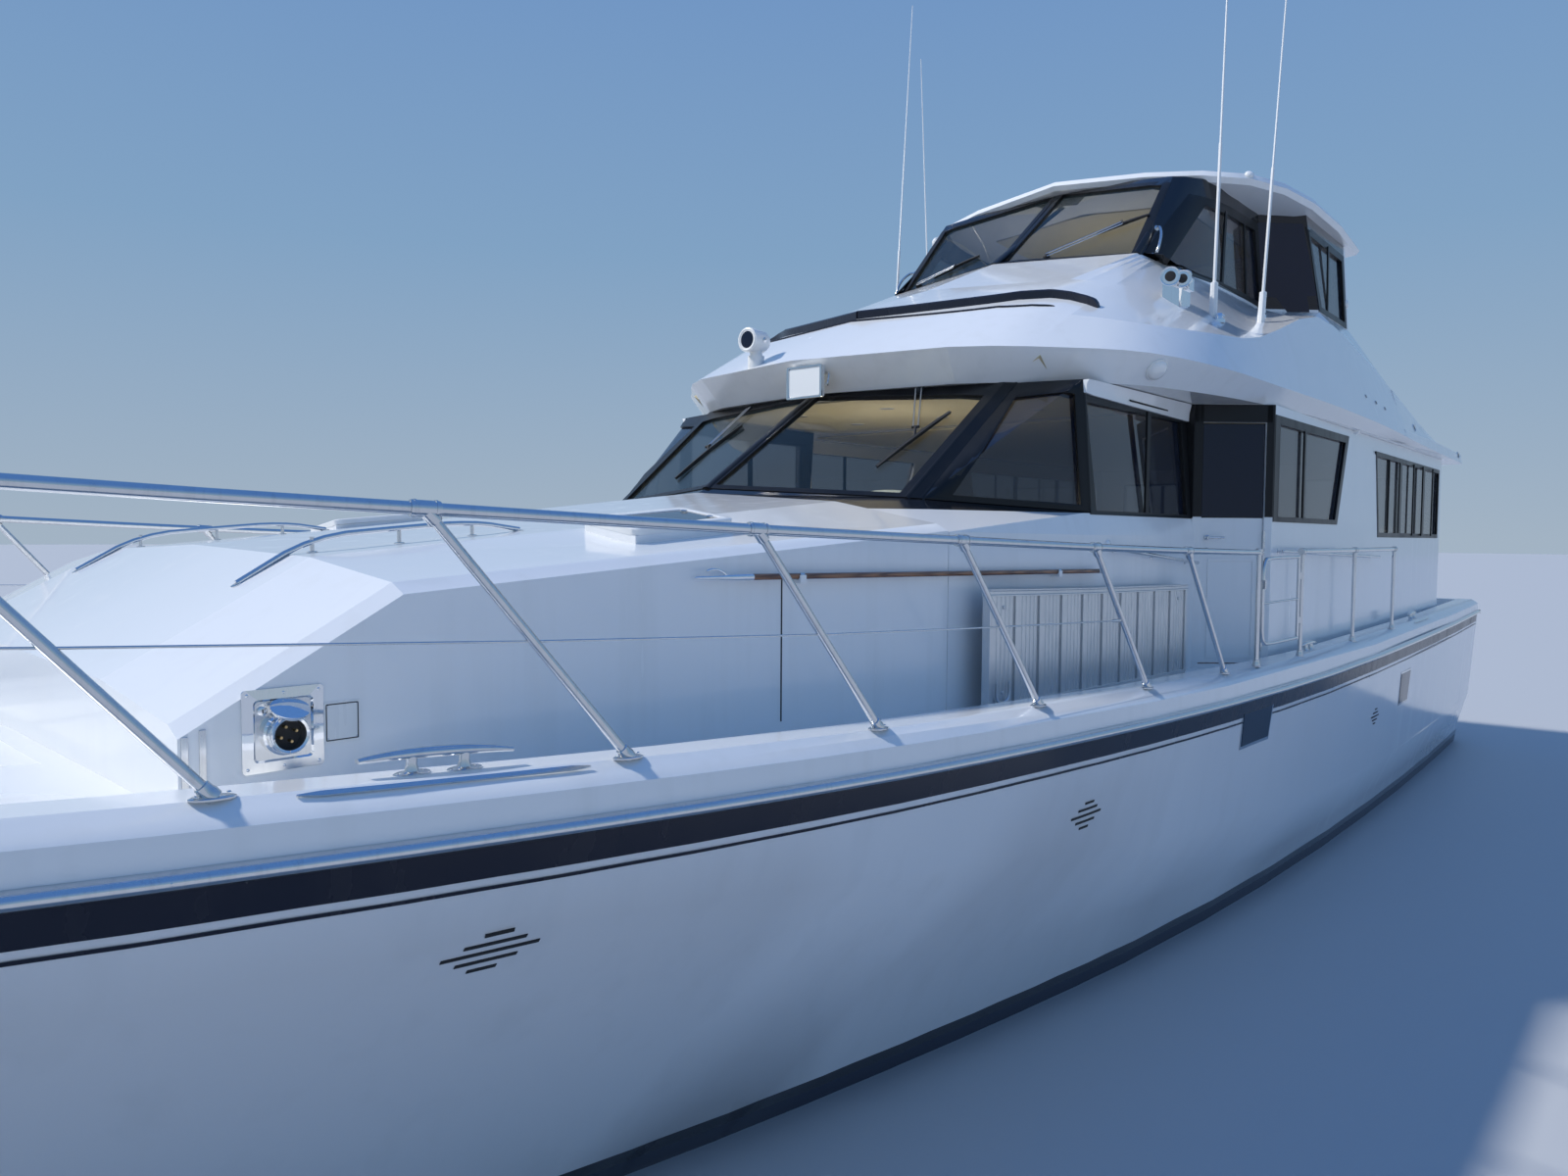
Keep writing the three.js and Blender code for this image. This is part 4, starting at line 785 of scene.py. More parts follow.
def makeSideRails():
    posts = rails["sidePosts"]
    high = gunwale(rails["end"] + rails["lean"])[1] + rails["height"]
    shape = Shape()
    shape.tube([at(s, footY(s), high) for s in steps(posts[0], posts[-1], 12)], rails["radius"], 16)
    for s in posts:
        foot, head = footAt(s), at(s, footY(s), high)
        shape.rod(foot, head, rails["postRadius"])
        addFoot(shape, foot, upward, 0.04)
        addSleeve(shape, head, forward, 0.07)
    buildPair(shape, "sideRail", "stainless", stands="side_rail", angle=50)


def makeGates():
    y = footY(12.0)
    low, high, front, back, radius = (gate[k] for k in ("low", "high", "front", "back", "radius"))
    shape = Shape()
    # the corner of the frame, as distances aft of the front and in from the edge
    corner = ((0.09, 0), (0.03, 0.02), (0, 0.09))
    foot = [at(front + ds, y, low + dz) for ds, dz in corner]
    head = [at(front + ds, y, high - dz) for ds, dz in reversed(corner)]
    shape.tube(rounded([at(back, y, low), *foot, *head, at(back, y, high)]), radius)
    shape.rod(at(back, y, low - radius), at(back, y, high + radius), radius)
    shape.rod(at(front, y, gate["middle"]), at(back, y, gate["middle"]), gate["thin"], 12)
    for z in gate["hinges"]:
        shape.box(at(back, y - 0.004, z - 0.018), at(rails["gateAft"] - 0.0145, y + 0.004, z + 0.018))
        shape.lathe([(-0.024, 0.012), (0.024, 0.012)], at(back + 0.04, y, z), upward, 12)
    shape.box(at(front + 0.01, y - 0.02, gate["latch"][0]), at(front - 0.016, y + 0.02, gate["latch"][1]))
    bodies = ("gate_port", "gate_starboard")
    buildPair(shape, "boardingGate", "stainless", bodies, stands="boarding_gate", angle=50)


makeBowRail()
makeSideRails()
makeGates()
print("rails made")


# Window walls. Each pane sits in a facet of the wall, given by its corner points from near foot round to near head

walls = {
    "sill": [(8.88, 0, 3.14), (9.26, 1.326, 3.067), (9.325, 1.39, 3.06), (10.48, 1.93, 3.0), (12.2, 1.95, 3.0)],
    "head": [(9.99, 0, 3.862), (10.3, 1.39, 3.862), (10.365, 1.45, 3.862), (10.48, 1.865, 3.862),
             (12.2, 1.89, 3.862)],
    "doorLow": [(12.205, 1.96, 3.0), (12.62, 2.42, 3.0)],
    "doorHigh": [(12.205, 1.96, 3.862), (12.62, 2.42, 3.862)],
    "upperFoot": [(12.52, 0, 5.3), (12.76, 1.24, 5.24), (12.9, 1.32, 5.2), (13.2, 1.42, 5.15)],
    "upperHead": [(13.9, 0, 6.15), (13.6, 1.2, 5.93), (13.68, 1.28, 5.93), (13.85, 1.38, 5.93)],
    "jogFoot": [(15.25, 1.5, 5.12), (15.66, 1.92, 5.12)],
    "jogHead": [(14.95, 1.52, 5.93), (15.28, 1.86, 5.93)],
}
walls = {name: [at(*corner) for corner in corners] for name, corners in walls.items()}
margins = {
    "windshield": {"near": (0.045, 0.045), "far": (0.06, 0.06), "foot": (0.04, 0.04), "head": (0.04, 0.165)},
    "quarter": {"near": (0.19, 0.045), "far": (0.07, 0.1), "foot": (0.05, 0.06), "head": (0.19, 0.19)},
    "upper": {"near": (0.045, 0.045), "far": (0.07, 0.07), "foot": (0.1, 0.1), "head": (0.095, 0.095)},
}
# moulding, half-breadth, outer edge of the frame, opening, and divisions of each edge
sideWindows = {
    "wheelhouseSide": ("wheelhouse", 1.92, [(10.47, 2.985), (12.2, 2.985), (12.2, 3.862), (10.47, 3.862)],
                       [(10.56, 3.01), (12.12, 3.01), (12.08, 3.72), (10.5, 3.72)], 8),
    "salonFore": ("salon_house", 2.41, [(12.64, 2.965), (14.555, 2.965), (14.9, 3.79), (12.64, 3.79)],
                  [(12.76, 3.005), (14.48, 3.005), (14.78, 3.725), (12.76, 3.725)], 8),
    "salonAft": ("salon_house", 2.37, [(16.205, 2.855), (19.745, 2.855), (19.745, 3.725), (16.005, 3.725)],
                 [(16.25, 2.9), (19.7, 2.9), (19.7, 3.68), (16.05, 3.68)], 8),
    "upperSide": ("upper_house", 1.45, [(12.79, 5.2), (15.25, 5.13), (14.96, 5.92), (13.62, 5.92)],
                  [(13.08, 5.185), (15.15, 5.185), (14.88, 5.84), (13.79, 5.84)], 12),
    "upperAft": ("upper_house", 1.9, [(15.68, 5.13), (16.82, 5.13), (16.78, 5.91), (15.33, 5.91)],
                 [(15.76, 5.185), (16.74, 5.185), (16.69, 5.84), (15.42, 5.84)], 10),
}
# pane, foot and head of each bar between panes, half-breadth, and half its width
dividers = {
    "wheelhouse": [("side_glass_port", (11.38, 3.0), (11.38, 3.73), 1.93, 0.028)],
    "salon": [("salon_glass_fore_port", (13.46, 2.99), (13.46, 3.74), 2.41, 0.02)]
    + [("salon_glass_aft_port", (s, 2.88), (s, 3.7), 2.37, half)
       for s, half in ((17.3, 0.05), (18.55, 0.05), (16.75, 0.015), (18.0, 0.015), (19.1, 0.015))],
    "upper": [("upper_side_glass_port", (14.1, 5.16), (14.16, 5.86), 1.48, 0.025),
              ("upper_side_glass_port", (14.72, 5.16), (14.6, 5.86), 1.5, 0.018),
              ("upper_aft_glass_port", (16.1, 5.16), (16.05, 5.86), 1.88, 0.02)],
}
frameSize = {
    "proud": 0.005, "deep": 0.021, "sunk": 0.008, "lip": 0.004, "between": (0.12, 0.35, 0.6, 0.85),
    "studRadius": 0.0042, "studRise": 0.0018, "studStep": 0.078, "studIn": 0.022, "near": 0.24,
}


def wallFacet(low, high, i=0):
    return [walls[low][i], walls[low][i + 1], walls[high][i + 1], walls[high][i]]


def facingOf(quad):
    a, b, c, d = quad
    return (c - a).cross(d - b).normalized()


def paneCorners(quad, edge):
    a, b, c, d = quad
    low, high, left = (b - a).length, (c - d).length, (d - a).length

    def corner(u, v):
        return a.lerp(b, u[0]).lerp(d.lerp(c, u[1]), v)

    near = (edge["near"][0] / low, edge["near"][1] / high)
    far = (1 - edge["far"][0] / low, 1 - edge["far"][1] / high)
    return [corner(near, edge["foot"][0] / left), corner(far, edge["foot"][1] / left),
            corner(far, 1 - edge["head"][1] / left), corner(near, 1 - edge["head"][0] / left)]


def divided(loop, count):
    return [a.lerp(b, k / count) for a, b in zip(loop, loop[1:] + loop[:1]) for k in range(count)]


def onWall(node, point, way):
    # the wall's surface on the line through point along way; the point itself where the ray finds nothing near
    try:
        found = probe(node, point + way * 0.3, -way)[0]
    except ValueError:
        return point.copy()
    return found if abs((found - point).dot(way)) < frameSize["near"] else point.copy()


def surround(shape, node, outline, opening, way, count=8, studded=True):
    # a frame on the wall round an opening, with a lip that turns in to the glass
    proud = way * frameSize["proud"]
    outer = [onWall(node, p, way) for p in divided(outline, count)]
    lands = []
    for p, q in zip(divided(opening, count), divided(outline, count)):
        out = (q - p).normalized()
        wall = onWall(node, p + out * 0.008, way)
        lands.append(p - out * frameSize["lip"] + way * (wall - p).dot(way))
    between = [[onWall(node, p.lerp(q, t), way) + proud for p, q in zip(outer, lands)]
               for t in frameSize["between"]]
    shape.collar([[p - way * frameSize["sunk"] for p in outer], [p + proud for p in outer], *between,
                  [p + proud for p in lands], [p - way * frameSize["deep"] for p in lands]])
    if not studded:
        return
    ring = [p.lerp(q, min(0.5, frameSize["studIn"] / max((p - q).length, 1e-4))) for p, q in zip(lands, outer)]
    left = frameSize["studStep"] / 2
    for a, b in zip(ring, ring[1:] + ring[:1]):
        length = (b - a).length
        while left < length:
            shape.stud(a.lerp(b, left / length) + proud, way, frameSize["studRadius"], frameSize["studRise"], 0, 6)
            left += frameSize["studStep"]
        left -= length


def sideSurround(shape, name):
    node, y, outline, opening, count = sideWindows[name]
    outline, opening = ([at(s, y, z) for s, z in points] for points in (outline, opening))
    surround(shape, node, outline, opening, outboard, count, False)


def facetSkin(shape, quad, node, mark=0, count=4):
    # a flush panel over a whole facet
    way = facingOf(quad)
    a, b, c, d = quad
    rows = []
    for t in steps(0, 1, count + 1):
        low, high = a.lerp(b, t), d.lerp(c, t)
        rows.append([(onWall(node, low.lerp(high, v), way), way) for v in steps(0, 1, count + 1)])
    shape.sheet(rows, 0.005, mark)


def ridgeCap(shape, foot, head, way, half, rise):
    # a rounded cap over the fold between two facets
    along = (head - foot).normalized()
    across = along.cross(way).normalized()
    out = across.cross(along)
    if out.dot(way) < 0:
        out = -out
    arc = [math.radians(a) for a in range(0, 181, 20)]
    shape.loft([[place + across * half * math.cos(t) + out * (rise * math.sin(t) - 0.006) for t in arc]
                for place in (foot, head)])


def addDividers(shape, key):
    for node, foot, head, y, half in dividers[key]:
        rings = []
        for s, z in (foot, head):
            glass = onWall(node, at(s, y, z), outboard)
            corners = ((-half, -0.004), (half, -0.004), (half, 0.012), (-half, 0.012))
            rings.append([glass + Vector((dx, dy, 0)) for dx, dy in corners])
        shape.loft(rings)


def makeWheelhouseFrames():
    shape = Shape()
    front, corner, quarter = (wallFacet("sill", "head", i) for i in range(3))
    surround(shape, "wheelhouse", front, paneCorners(front, margins["windshield"]), facingOf(front))
    facetSkin(shape, corner, "wheelhouse")
    surround(shape, "wheelhouse", quarter, paneCorners(quarter, margins["quarter"]), facingOf(quarter))
    sideSurround(shape, "wheelhouseSide")
    for i in (1, 2, 3):
        way = facingOf(wallFacet("sill", "head", i)) + facingOf(wallFacet("sill", "head", i - 1))
        ridgeCap(shape, walls["sill"][i], walls["head"][i], way, 0.02, 0.012)
    addDividers(shape, "wheelhouse")
    buildPair(shape, "wheelhouseFrame", "blackFrame", bevel=0.0015)
    cap = Shape()
    foot, head, studs = walls["sill"][0], walls["head"][0], 14
    ridgeCap(cap, foot, head, Vector((0.7, 0, 0.7)), 0.036, 0.02)
    for k in range(studs):
        place = foot.lerp(head, (k + 0.5) / studs)
        for side in (-1, 1):
            cap.stud(place + Vector((0.006, side * 0.02, 0.006)), (0.5, side * 0.2, 0.6), 0.004, 0.002, 0, 6)
    cap.build("frontMullion", "blackFrame")


# shares of the door's breadth and height, and its fittings in metres
doorSize = {
    "jambs": (0.112, 0.905), "lintel": 0.842, "panel": (0.127, 0.898, 0.001, 0.828), "inset": 0.0215,
    "thick": 0.006,
    "grip": (0.2, 0.16), "lockDrop": 0.09, "frame": (0.22, 0.8, 1.1, 0.32), "frameIn": 0.06, "frameOut": 0.005,
}


def makeDoorPanel(jamb):
    # dark panel over the door's upper half, a lever with its lock, and a moulded frame below
    a, b, c, d = jamb
    out, along = facingOf(jamb), (b - a).normalized()
    inward = -out * doorSize["inset"]
    near, far, low, high = doorSize["panel"]
    door = Shape()
    edges = [(a.lerp(b, u), d.lerp(c, u)) for u in (near, far)]
    panel = [edges[0][0].lerp(edges[0][1], low), edges[1][0].lerp(edges[1][1], low),
             edges[1][0].lerp(edges[1][1], high), edges[0][0].lerp(edges[0][1], high)]
    door.slab([p + inward for p in panel], out * doorSize["thick"])
    grip = a.lerp(b, doorSize["grip"][0]) + inward - upward * doorSize["grip"][1]
    door.lathe([(0, 0.02), (0.012, 0.02), (0.016, 0.012), (0.045, 0.011)], grip, out, 16, 1)
    lever = ((0.045, 0.0), (0.05, 0.03), (0.046, 0.12))
    door.tube([grip + out * d + along * reach for d, reach in lever], 0.008, 12, 1)
    door.lathe([(0, 0.013), (0.006, 0.013), (0.007, 0.01)], grip - upward * doorSize["lockDrop"], out, 14, 1)
    near, far, foot, head = doorSize["frame"]
    corners = ((near, foot), (far, foot), (far, head), (near, head))
    loop = [a.lerp(b, u) + inward - upward * drop for u, drop in corners]
    inside = [p.lerp(sum(loop, Vector()) / 4, doorSize["frameIn"]) for p in loop]
    proud = out * doorSize["frameOut"]
    door.collar([loop, [p + proud for p in loop], [p + proud for p in inside], inside], 2)
    bodies = ("door_port", "door_starboard")
    buildPair(door, "doorPanel", ["darkPanel", "stainless", "gelcoat"], bodies, bevel=0.002)


def makeSalonFrames():
    shape = Shape()
    sideSurround(shape, "salonFore")
    sideSurround(shape, "salonAft")
    addDividers(shape, "salon")
    jamb = a, b, c, d = wallFacet("doorLow", "doorHigh")
    (near, far), lintel = doorSize["jambs"], doorSize["lintel"]
    for quad in ([a, a.lerp(b, near), d.lerp(c, near), d], [a.lerp(b, far), b, c, d.lerp(c, far)],
                 [a.lerp(d, lintel), b.lerp(c, lintel), c, d]):
        facetSkin(shape, quad, "salon_house", count=2)
    ridgeCap(shape, b, c, Vector((0.3, 1, 0)), 0.016, 0.01)
    step = [at(12.203, y, z) for y, z in ((1.93, 2.99), (1.966, 2.99), (1.966, 3.86), (1.87, 3.86))]
    shape.slab(step, (0.014, 0, 0))
    buildPair(shape, "salonFrame", "blackFrame", bevel=0.0015)
    makeDoorPanel(jamb)


def makeUpperFrames():
    shape = Shape()
    front = wallFacet("upperFoot", "upperHead")
    surround(shape, "upper_house", front, paneCorners(front, margins["upper"]), facingOf(front))
    sideSurround(shape, "upperSide")
    facetSkin(shape, wallFacet("jogFoot", "jogHead"), "upper_house", 1)
    sideSurround(shape, "upperAft")
    addDividers(shape, "upper")
    ridgeCap(shape, walls["upperFoot"][1], walls["upperHead"][1], Vector((0.6, 0.6, 0.3)), 0.03, 0.016)
    buildPair(shape, "upperFrame", ["blackFrame", "darkPanel"], bevel=0.0015)
    cap = Shape()
    foot, head = walls["upperFoot"][0], walls["upperHead"][0]
    ridgeCap(cap, foot, head.lerp(foot, 0.06), Vector((0.5, 0, 0.8)), 0.04, 0.018)
    cap.build("upperMullion", "blackFrame")


makeWheelhouseFrames()
makeSalonFrames()
makeUpperFrames()
print("window frames made")


# Deck fittings: cleats, chafe strips, shore inlet, hatches, handrails

cleats = {
    "places": {"fore": (5.6, 0.45), "mid": (13.0, 0.4), "aft": (17.1, 0.4)}, "inset": 0.162, "stance": 0.17,
    "stem": [(-0.002, 0.034), (0.006, 0.033), (0.012, 0.021), (0.03, 0.0155), (0.058, 0.017)],
    "height": 0.062, "droop": 0.012, "base": (0.056, 0.034), "screws": 0.042,
    "stripHalf": 0.42, "strip": (0.071, 0.0635, 0.056),
}


def ovalAt(place, wide, deep, count):
    return [place + Vector((wide * math.cos(t), deep * math.sin(t), 0)) for t in turns(count)]


def makeCleats():
    for word, (middle, length) in cleats["places"].items():
        shape = Shape()
        rings = []
        for t in steps(-1, 1, 21):
            s = middle + t * length / 2
            sheer, cap = gunwale(s)
            wide, high = mix(0.021, 0.012, abs(t) ** 2), mix(0.0165, 0.0075, abs(t) ** 2)
            centre = at(s, sheer - cleats["inset"], cap + cleats["height"] - cleats["droop"] * abs(t) ** 2.5)
            rings.append([centre + Vector((0, wide * math.cos(a), high * math.sin(a))) for a in turns(14)])
        shape.loft(rings)
        for side in (-1, 1):
            s = middle + side * length * cleats["stance"]
            sheer, cap = gunwale(s)
            foot = at(s, sheer - cleats["inset"], cap)
            shape.lathe(cleats["stem"], foot, upward, 18)
            wide, deep = cleats["base"]
            shape.loft([ovalAt(foot + upward * lift, wide * grow, deep * grow, 20)
                        for lift, grow in ((0.0006, 1), (0.006, 1), (0.008, 0.92))])
            for dx in (-cleats["screws"], cleats["screws"]):
                shape.stud(foot + Vector((dx, 0, 0.008)), upward, 0.006, 0.0025)
        buildPair(shape, f"cleat{word.capitalize()}", "stainless", stands=f"cleat_{word}", angle=40)
        rows = []
        half = cleats["stripHalf"]
        inner, centre, outer = cleats["strip"]
        for s in steps(middle - half, middle + half, 15):
            pinch = 0.06 * max(0, abs(s - middle) / half - 0.9)
            sheer = gunwale(s)[0]
            rows.append([topOf("deck_moulding", s, sheer - d) for d in (inner - pinch, centre, outer + pinch)])
        buildPair(Shape().sheet(rows, 0.006, lift=0.0004), f"chafeStrip{word.capitalize()}", "stainless", angle=40)


def roundedRect(halfWide, halfHigh, radius):
    wide, high, points = halfWide - radius, halfHigh - radius, []
    for x, y, start in ((1, 1, 0), (-1, 1, 90), (-1, -1, 180), (1, -1, 270)):
        for a in (math.radians(start + 22.5 * k) for k in range(5)):
            points.append((x * wide + radius * math.cos(a), y * high + radius * math.sin(a)))
    return points


def onPlate(centre, out, outline, lift):
    # outline points given across and up, on a plate that faces out
    across = upward.cross(out).normalized()
    up = out.cross(across)
    return [centre + across * u + up * v + out * lift for u, v in outline]


# plates as half width, half height, corner radius; lathe profiles as distance out and radius
inlet = {
    "place": (5.36, 2.245), "face": (0.029, 1, 0), "plate": (0.12, 0.125, 0.012), "recess": (0.088, 0.094, 0.014),
    "inner": (0.082, 0.088, 0.012), "screws": ((-1, -1), (1, -1), (1, 1), (-1, 1), (0, -1), (0, 1)),
    "screwAt": (0.105, 0.11), "drop": 0.012,
    "cup": [(0.002, 0.066), (0.02, 0.066), (0.026, 0.06), (0.055, 0.058), (0.06, 0.054), (0.056, 0.047),
            (0.02, 0.045)],
    "socket": [(0.004, 0.045), (0.021, 0.045), (0.022, 0.04)],
    "pins": (0.024, 0.018, 0.044, 0.0045), "pinTurn": 20, "lidAt": (0.074, 0.052),
    "lid": [(-0.004, 0.052), (0.004, 0.056), (0.008, 0.056), (0.014, 0.03), (0.016, 0.004)],
    "tongue": ((-0.02, 0.0), (0.02, 0.0), (0.014, 0.055), (-0.014, 0.055)), "hinge": (0.062, 0.024, 0.03, 0.006),
    "lockAt": (-0.062, 0.06), "lock": [(0.002, 0.014), (0.009, 0.014), (0.011, 0.011)],
}
blank = {
    "place": (5.54, 2.245), "plate": (0.058, 0.064, 0.006), "field": (0.052, 0.058, 0.004),
    "inside": (0.0485, 0.0545, 0.004), "screwAt": (0.046, 0.052),
}


def makeInlet():
    out = Vector(inlet["face"]).normalized()
    across = upward.cross(out).normalized()

    def plateRing(name, lift):
        return onPlate(centre, out, roundedRect(*part[name]), lift)

    part, centre = inlet, sideOf("trunk_cabin", *inlet["place"])[0]
    shape = Shape()
    shape.collar([plateRing("plate", 0.0004), plateRing("plate", 0.006), plateRing("recess", 0.0085),
                  plateRing("inner", 0.0022), plateRing("inner", 0.0004)])
    shape.loft([plateRing("inner", 0.0006), plateRing("inner", 0.0028)], 1)
    wide, high = inlet["screwAt"]
    for u, v in inlet["screws"]:
        shape.stud(centre + across * u * wide + upward * v * high + out * 0.0065, out, 0.0055, 0.002)
    hub = centre - upward * inlet["drop"]
    shape.lathe(inlet["cup"], hub, out, 28)
    shape.lathe(inlet["socket"], hub, out, 24, 2)
    ring, low, high, radius = inlet["pins"]
    for a in (math.radians(inlet["pinTurn"] + 90 * k) for k in range(4)):
        pin = hub + (across * math.cos(a) + upward * math.sin(a)) * ring
        shape.rod(pin + out * low, pin + out * high, radius, 8, 3)
    lid = hub + upward * inlet["lidAt"][0] + out * inlet["lidAt"][1]
    tilt = (out * 0.45 + upward * 0.9).normalized()
    shape.lathe(inlet["lid"], lid, tilt, 28)
    shape.slab([lid + across * u - tilt * 0.003 - out * v for u, v in inlet["tongue"]], tilt * 0.006)
    rise, half, reach, radius = inlet["hinge"]
    hinge = hub + upward * rise + out * reach
    shape.rod(hinge - across * half, hinge + across * half, radius, 10)
    lock = centre + across * inlet["lockAt"][0] + upward * inlet["lockAt"][1]
    shape.lathe(inlet["lock"], lock, out, 18)
    keyhole = across * 0.0015 + upward * 0.006
    shape.box(lock + out * 0.0105 - keyhole, lock + out * 0.0125 + keyhole, 2)
    shape.build("shoreInlet", ["chrome", "stainless", "blackRubber", "bronze"], angle=40, stands="shore_inlet")
    part, centre = blank, sideOf("trunk_cabin", *blank["place"])[0]
    plate = Shape()
    plate.loft([plateRing("plate", 0.0004), plateRing("plate", 0.003)])
    frameRings = (("field", 0.0028), ("field", 0.0036), ("inside", 0.0036), ("inside", 0.0028))
    plate.collar([plateRing(*row) for row in frameRings], 2)
    wide, high = blank["screwAt"]
    for u, v in ((-1, -1), (-1, 1), (1, -1), (1, 1)):
        plate.stud(centre + across * u * wide + upward * v * high + out * 0.003, out, 0.0035, 0.0012, 1)
    plate.build("blankPlate", ["whitePaint", "stainless", "blackRubber"])


# station, heights and rows of a strip on the trunk's side, its half width and its thickness
trunkStrips = {
    "cornerStrip": (((5.088, 2.09, 2.255, 4), (5.135, 2.09, 2.27, 4)), 0.009, 0.004, 0.0005, "stainless", 0.001),
    "trunkSeam": (((7.52, 2.0, 2.7, 5),), 0.004, 0.0012, 0.0004, "blackRubber", 0.0),
}


def makeTrunkStrips():
    for name, (places, half, thick, lift, finish, bevel) in trunkStrips.items():
        shape = Shape()
        for s, low, high, count in places:
            shape.sheet([[(sideOf("trunk_cabin", s + d, z)[0], outboard) for d in (-half, half)]
                         for z in steps(low, high, count)], thick, lift=lift)
        buildPair(shape, name, finish, bevel=bevel)


# node, body, half length, half width, and whether a dome light shows on the lid
lids = {
    "trunkLidPort": ("trunk_hatch_port", "trunk_lid_port", 0.306, 0.178, True),
    "trunkLidStarboard": ("trunk_hatch_starboard", "trunk_lid_starboard", 0.306, 0.178, False),
    "foredeckLid": ("foredeck_hatch", "foredeck_lid", 0.306, 0.306, False),
}
# rim of a lid: distance in from the edge, corner radius and height
lidRim = ((0, 0.03, -0.0335), (0, 0.03, -0.006), (0.006, 0.03, -0.0005),
          (0.04, 0.025, -0.0005), (0.045, 0.025, -0.005), (0.045, 0.025, -0.0335))
lidPane = ((0.044, 0.025, -0.022), (0.044, 0.025, -0.006))


def makeLid(name, node, body, halfLong, halfWide, dome):
    # white rim, dark acrylic, hinges forward and two dogs aft
    low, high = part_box(node)
    middle = (Vector(low) + Vector(high)) / 2

    def top(dx, dy):
        return probe(node, Vector((middle.x + dx, middle.y + dy, high[2] + 1)), -upward)[0]

    centre = top(0, 0)
    u = (top(0.1, 0) - top(-0.1, 0)).normalized()
    v = (top(0, 0.1) - top(0, -0.1)).normalized()
    out = u.cross(v).normalized()

    def ring(inset, radius, lift):
        outline = roundedRect(halfLong - inset, halfWide - inset, radius)
        return [centre + u * a + v * b + out * lift for a, b in outline]

    shape = Shape()
    shape.collar([ring(*row) for row in lidRim])
    shape.loft([ring(*row) for row in lidPane], 1)
    for side in (-0.5, 0.5):
        hinge = centre + u * (halfLong - 0.012) + v * halfWide * side - out * 0.008
        shape.rod(hinge - v * 0.028, hinge + v * 0.028, 0.0075, 12, 2)
        dog = centre - u * (halfLong - 0.075) + v * halfWide * side - out * 0.003
        shape.lathe([(-0.004, 0.017), (0.004, 0.017), (0.006, 0.012)], dog, out, 14, 2)
    if dome:
        shape.lathe([(-0.006, 0.05), (-0.002, 0.05), (-0.0008, 0.047)], centre + u * halfLong * 0.42, out, 24, 3)
    shape.build(name, ["whitePaint", "acrylic", "stainless", "lens"], body, angle=40, stands=node)


# stations and heights of the roof rail; ends, heights and posts of the rails along the houses
handrails = {
    "roofY": 0.93, "roof": ((5.56, 0.006), (5.84, 0.06), (6.2, 0.062), (6.54, 0.06), (6.78, 0.006)),
    "roofRadius": 0.011,
    "side": (("wheelhouse", 10.72, 12.02, 2.755, 2.655, 3), ("salon_house", 12.8, 15.9, 2.735, 2.66, 5)),
    "sideRadius": 0.0125, "standOff": 0.062, "past": 0.09,
    "hinge": (12.585, 2.375, 1.96, 0.086, 0.078, 11),
}


def standOff(shape, foot, way, head, radius=0.008, flange=0.02):
    shape.rod(foot, head, radius, 10)
    shape.lathe([(-0.002, flange), (0.003, flange), (0.005, radius)], foot, way, 14)


def makeHandrails():
    shape = Shape()
    tops = [topOf("trunk_cabin", s, handrails["roofY"]) for s, _ in handrails["roof"]]
    heads = [p + upward * lift for (p, _), (_, lift) in zip(tops, handrails["roof"])]
    shape.tube(rounded(heads), handrails["roofRadius"], 12)
    for (foot, normal), head in zip(tops, heads):
        standOff(shape, foot, normal, head)
    for node, s0, s1, z0, z1, count in handrails["side"]:
        feet = [sideOf(node, s, z)[0] for s, z in zip(steps(s0, s1, count), steps(z0, z1, count))]
        points = [foot + outboard * handrails["standOff"] for foot in feet]
        for foot, head in zip(feet, points):
            standOff(shape, foot, outboard, head)
        first, last = (points[0] - points[1]).normalized(), (points[-1] - points[-2]).normalized()
        path = [points[0] + first * handrails["past"], *points, points[-1] + last * handrails["past"]]
        shape.tube(path, handrails["sideRadius"], 14)
        for end, way in ((path[0], first), (path[-1], last)):
            shape.lathe([(-0.004, 0.0135), (0.003, 0.0135), (0.006, 0.009)], end, way, 12)
    buildPair(shape, "handrail", "stainless", angle=50)
    hinge = Shape()
    s, y, low, pitch, long, count = handrails["hinge"]
    for k in range(count):
        hinge.rod(at(s, y, low + k * pitch), at(s, y, low + k * pitch + long), 0.008, 10)
    buildPair(hinge, "doorHinge", "stainless", angle=50)


# station and height of each vent; ends, heights and lean of each window; rim and pane as growth, thickness, finish
hullDetails = {
    "vents": ((5.75, 1.58), (9.05, 1.41), (14.9, 1.2)), "slots": (0.045, 0.095, 0.15, 0.095, 0.045),
    "slotPitch": 0.034, "slotHalf": 0.006, "slotThick": 0.0025,
    "windows": ((11.05, 11.62, 1.47, 1.7, 0.08), (15.85, 16.3, 1.2, 1.5, 0.06)),
    "layers": ((0.022, 0.003, 1), (0.0, 0.0055, 0)),
}


def hullPatch(shape, outline, thick, mark=0):
    # a patch that follows the side, from rows of (s, z) pairs
    shape.sheet([[sideOf("hull", s, z) for s, z in row] for row in outline], thick, mark, 0.0008)


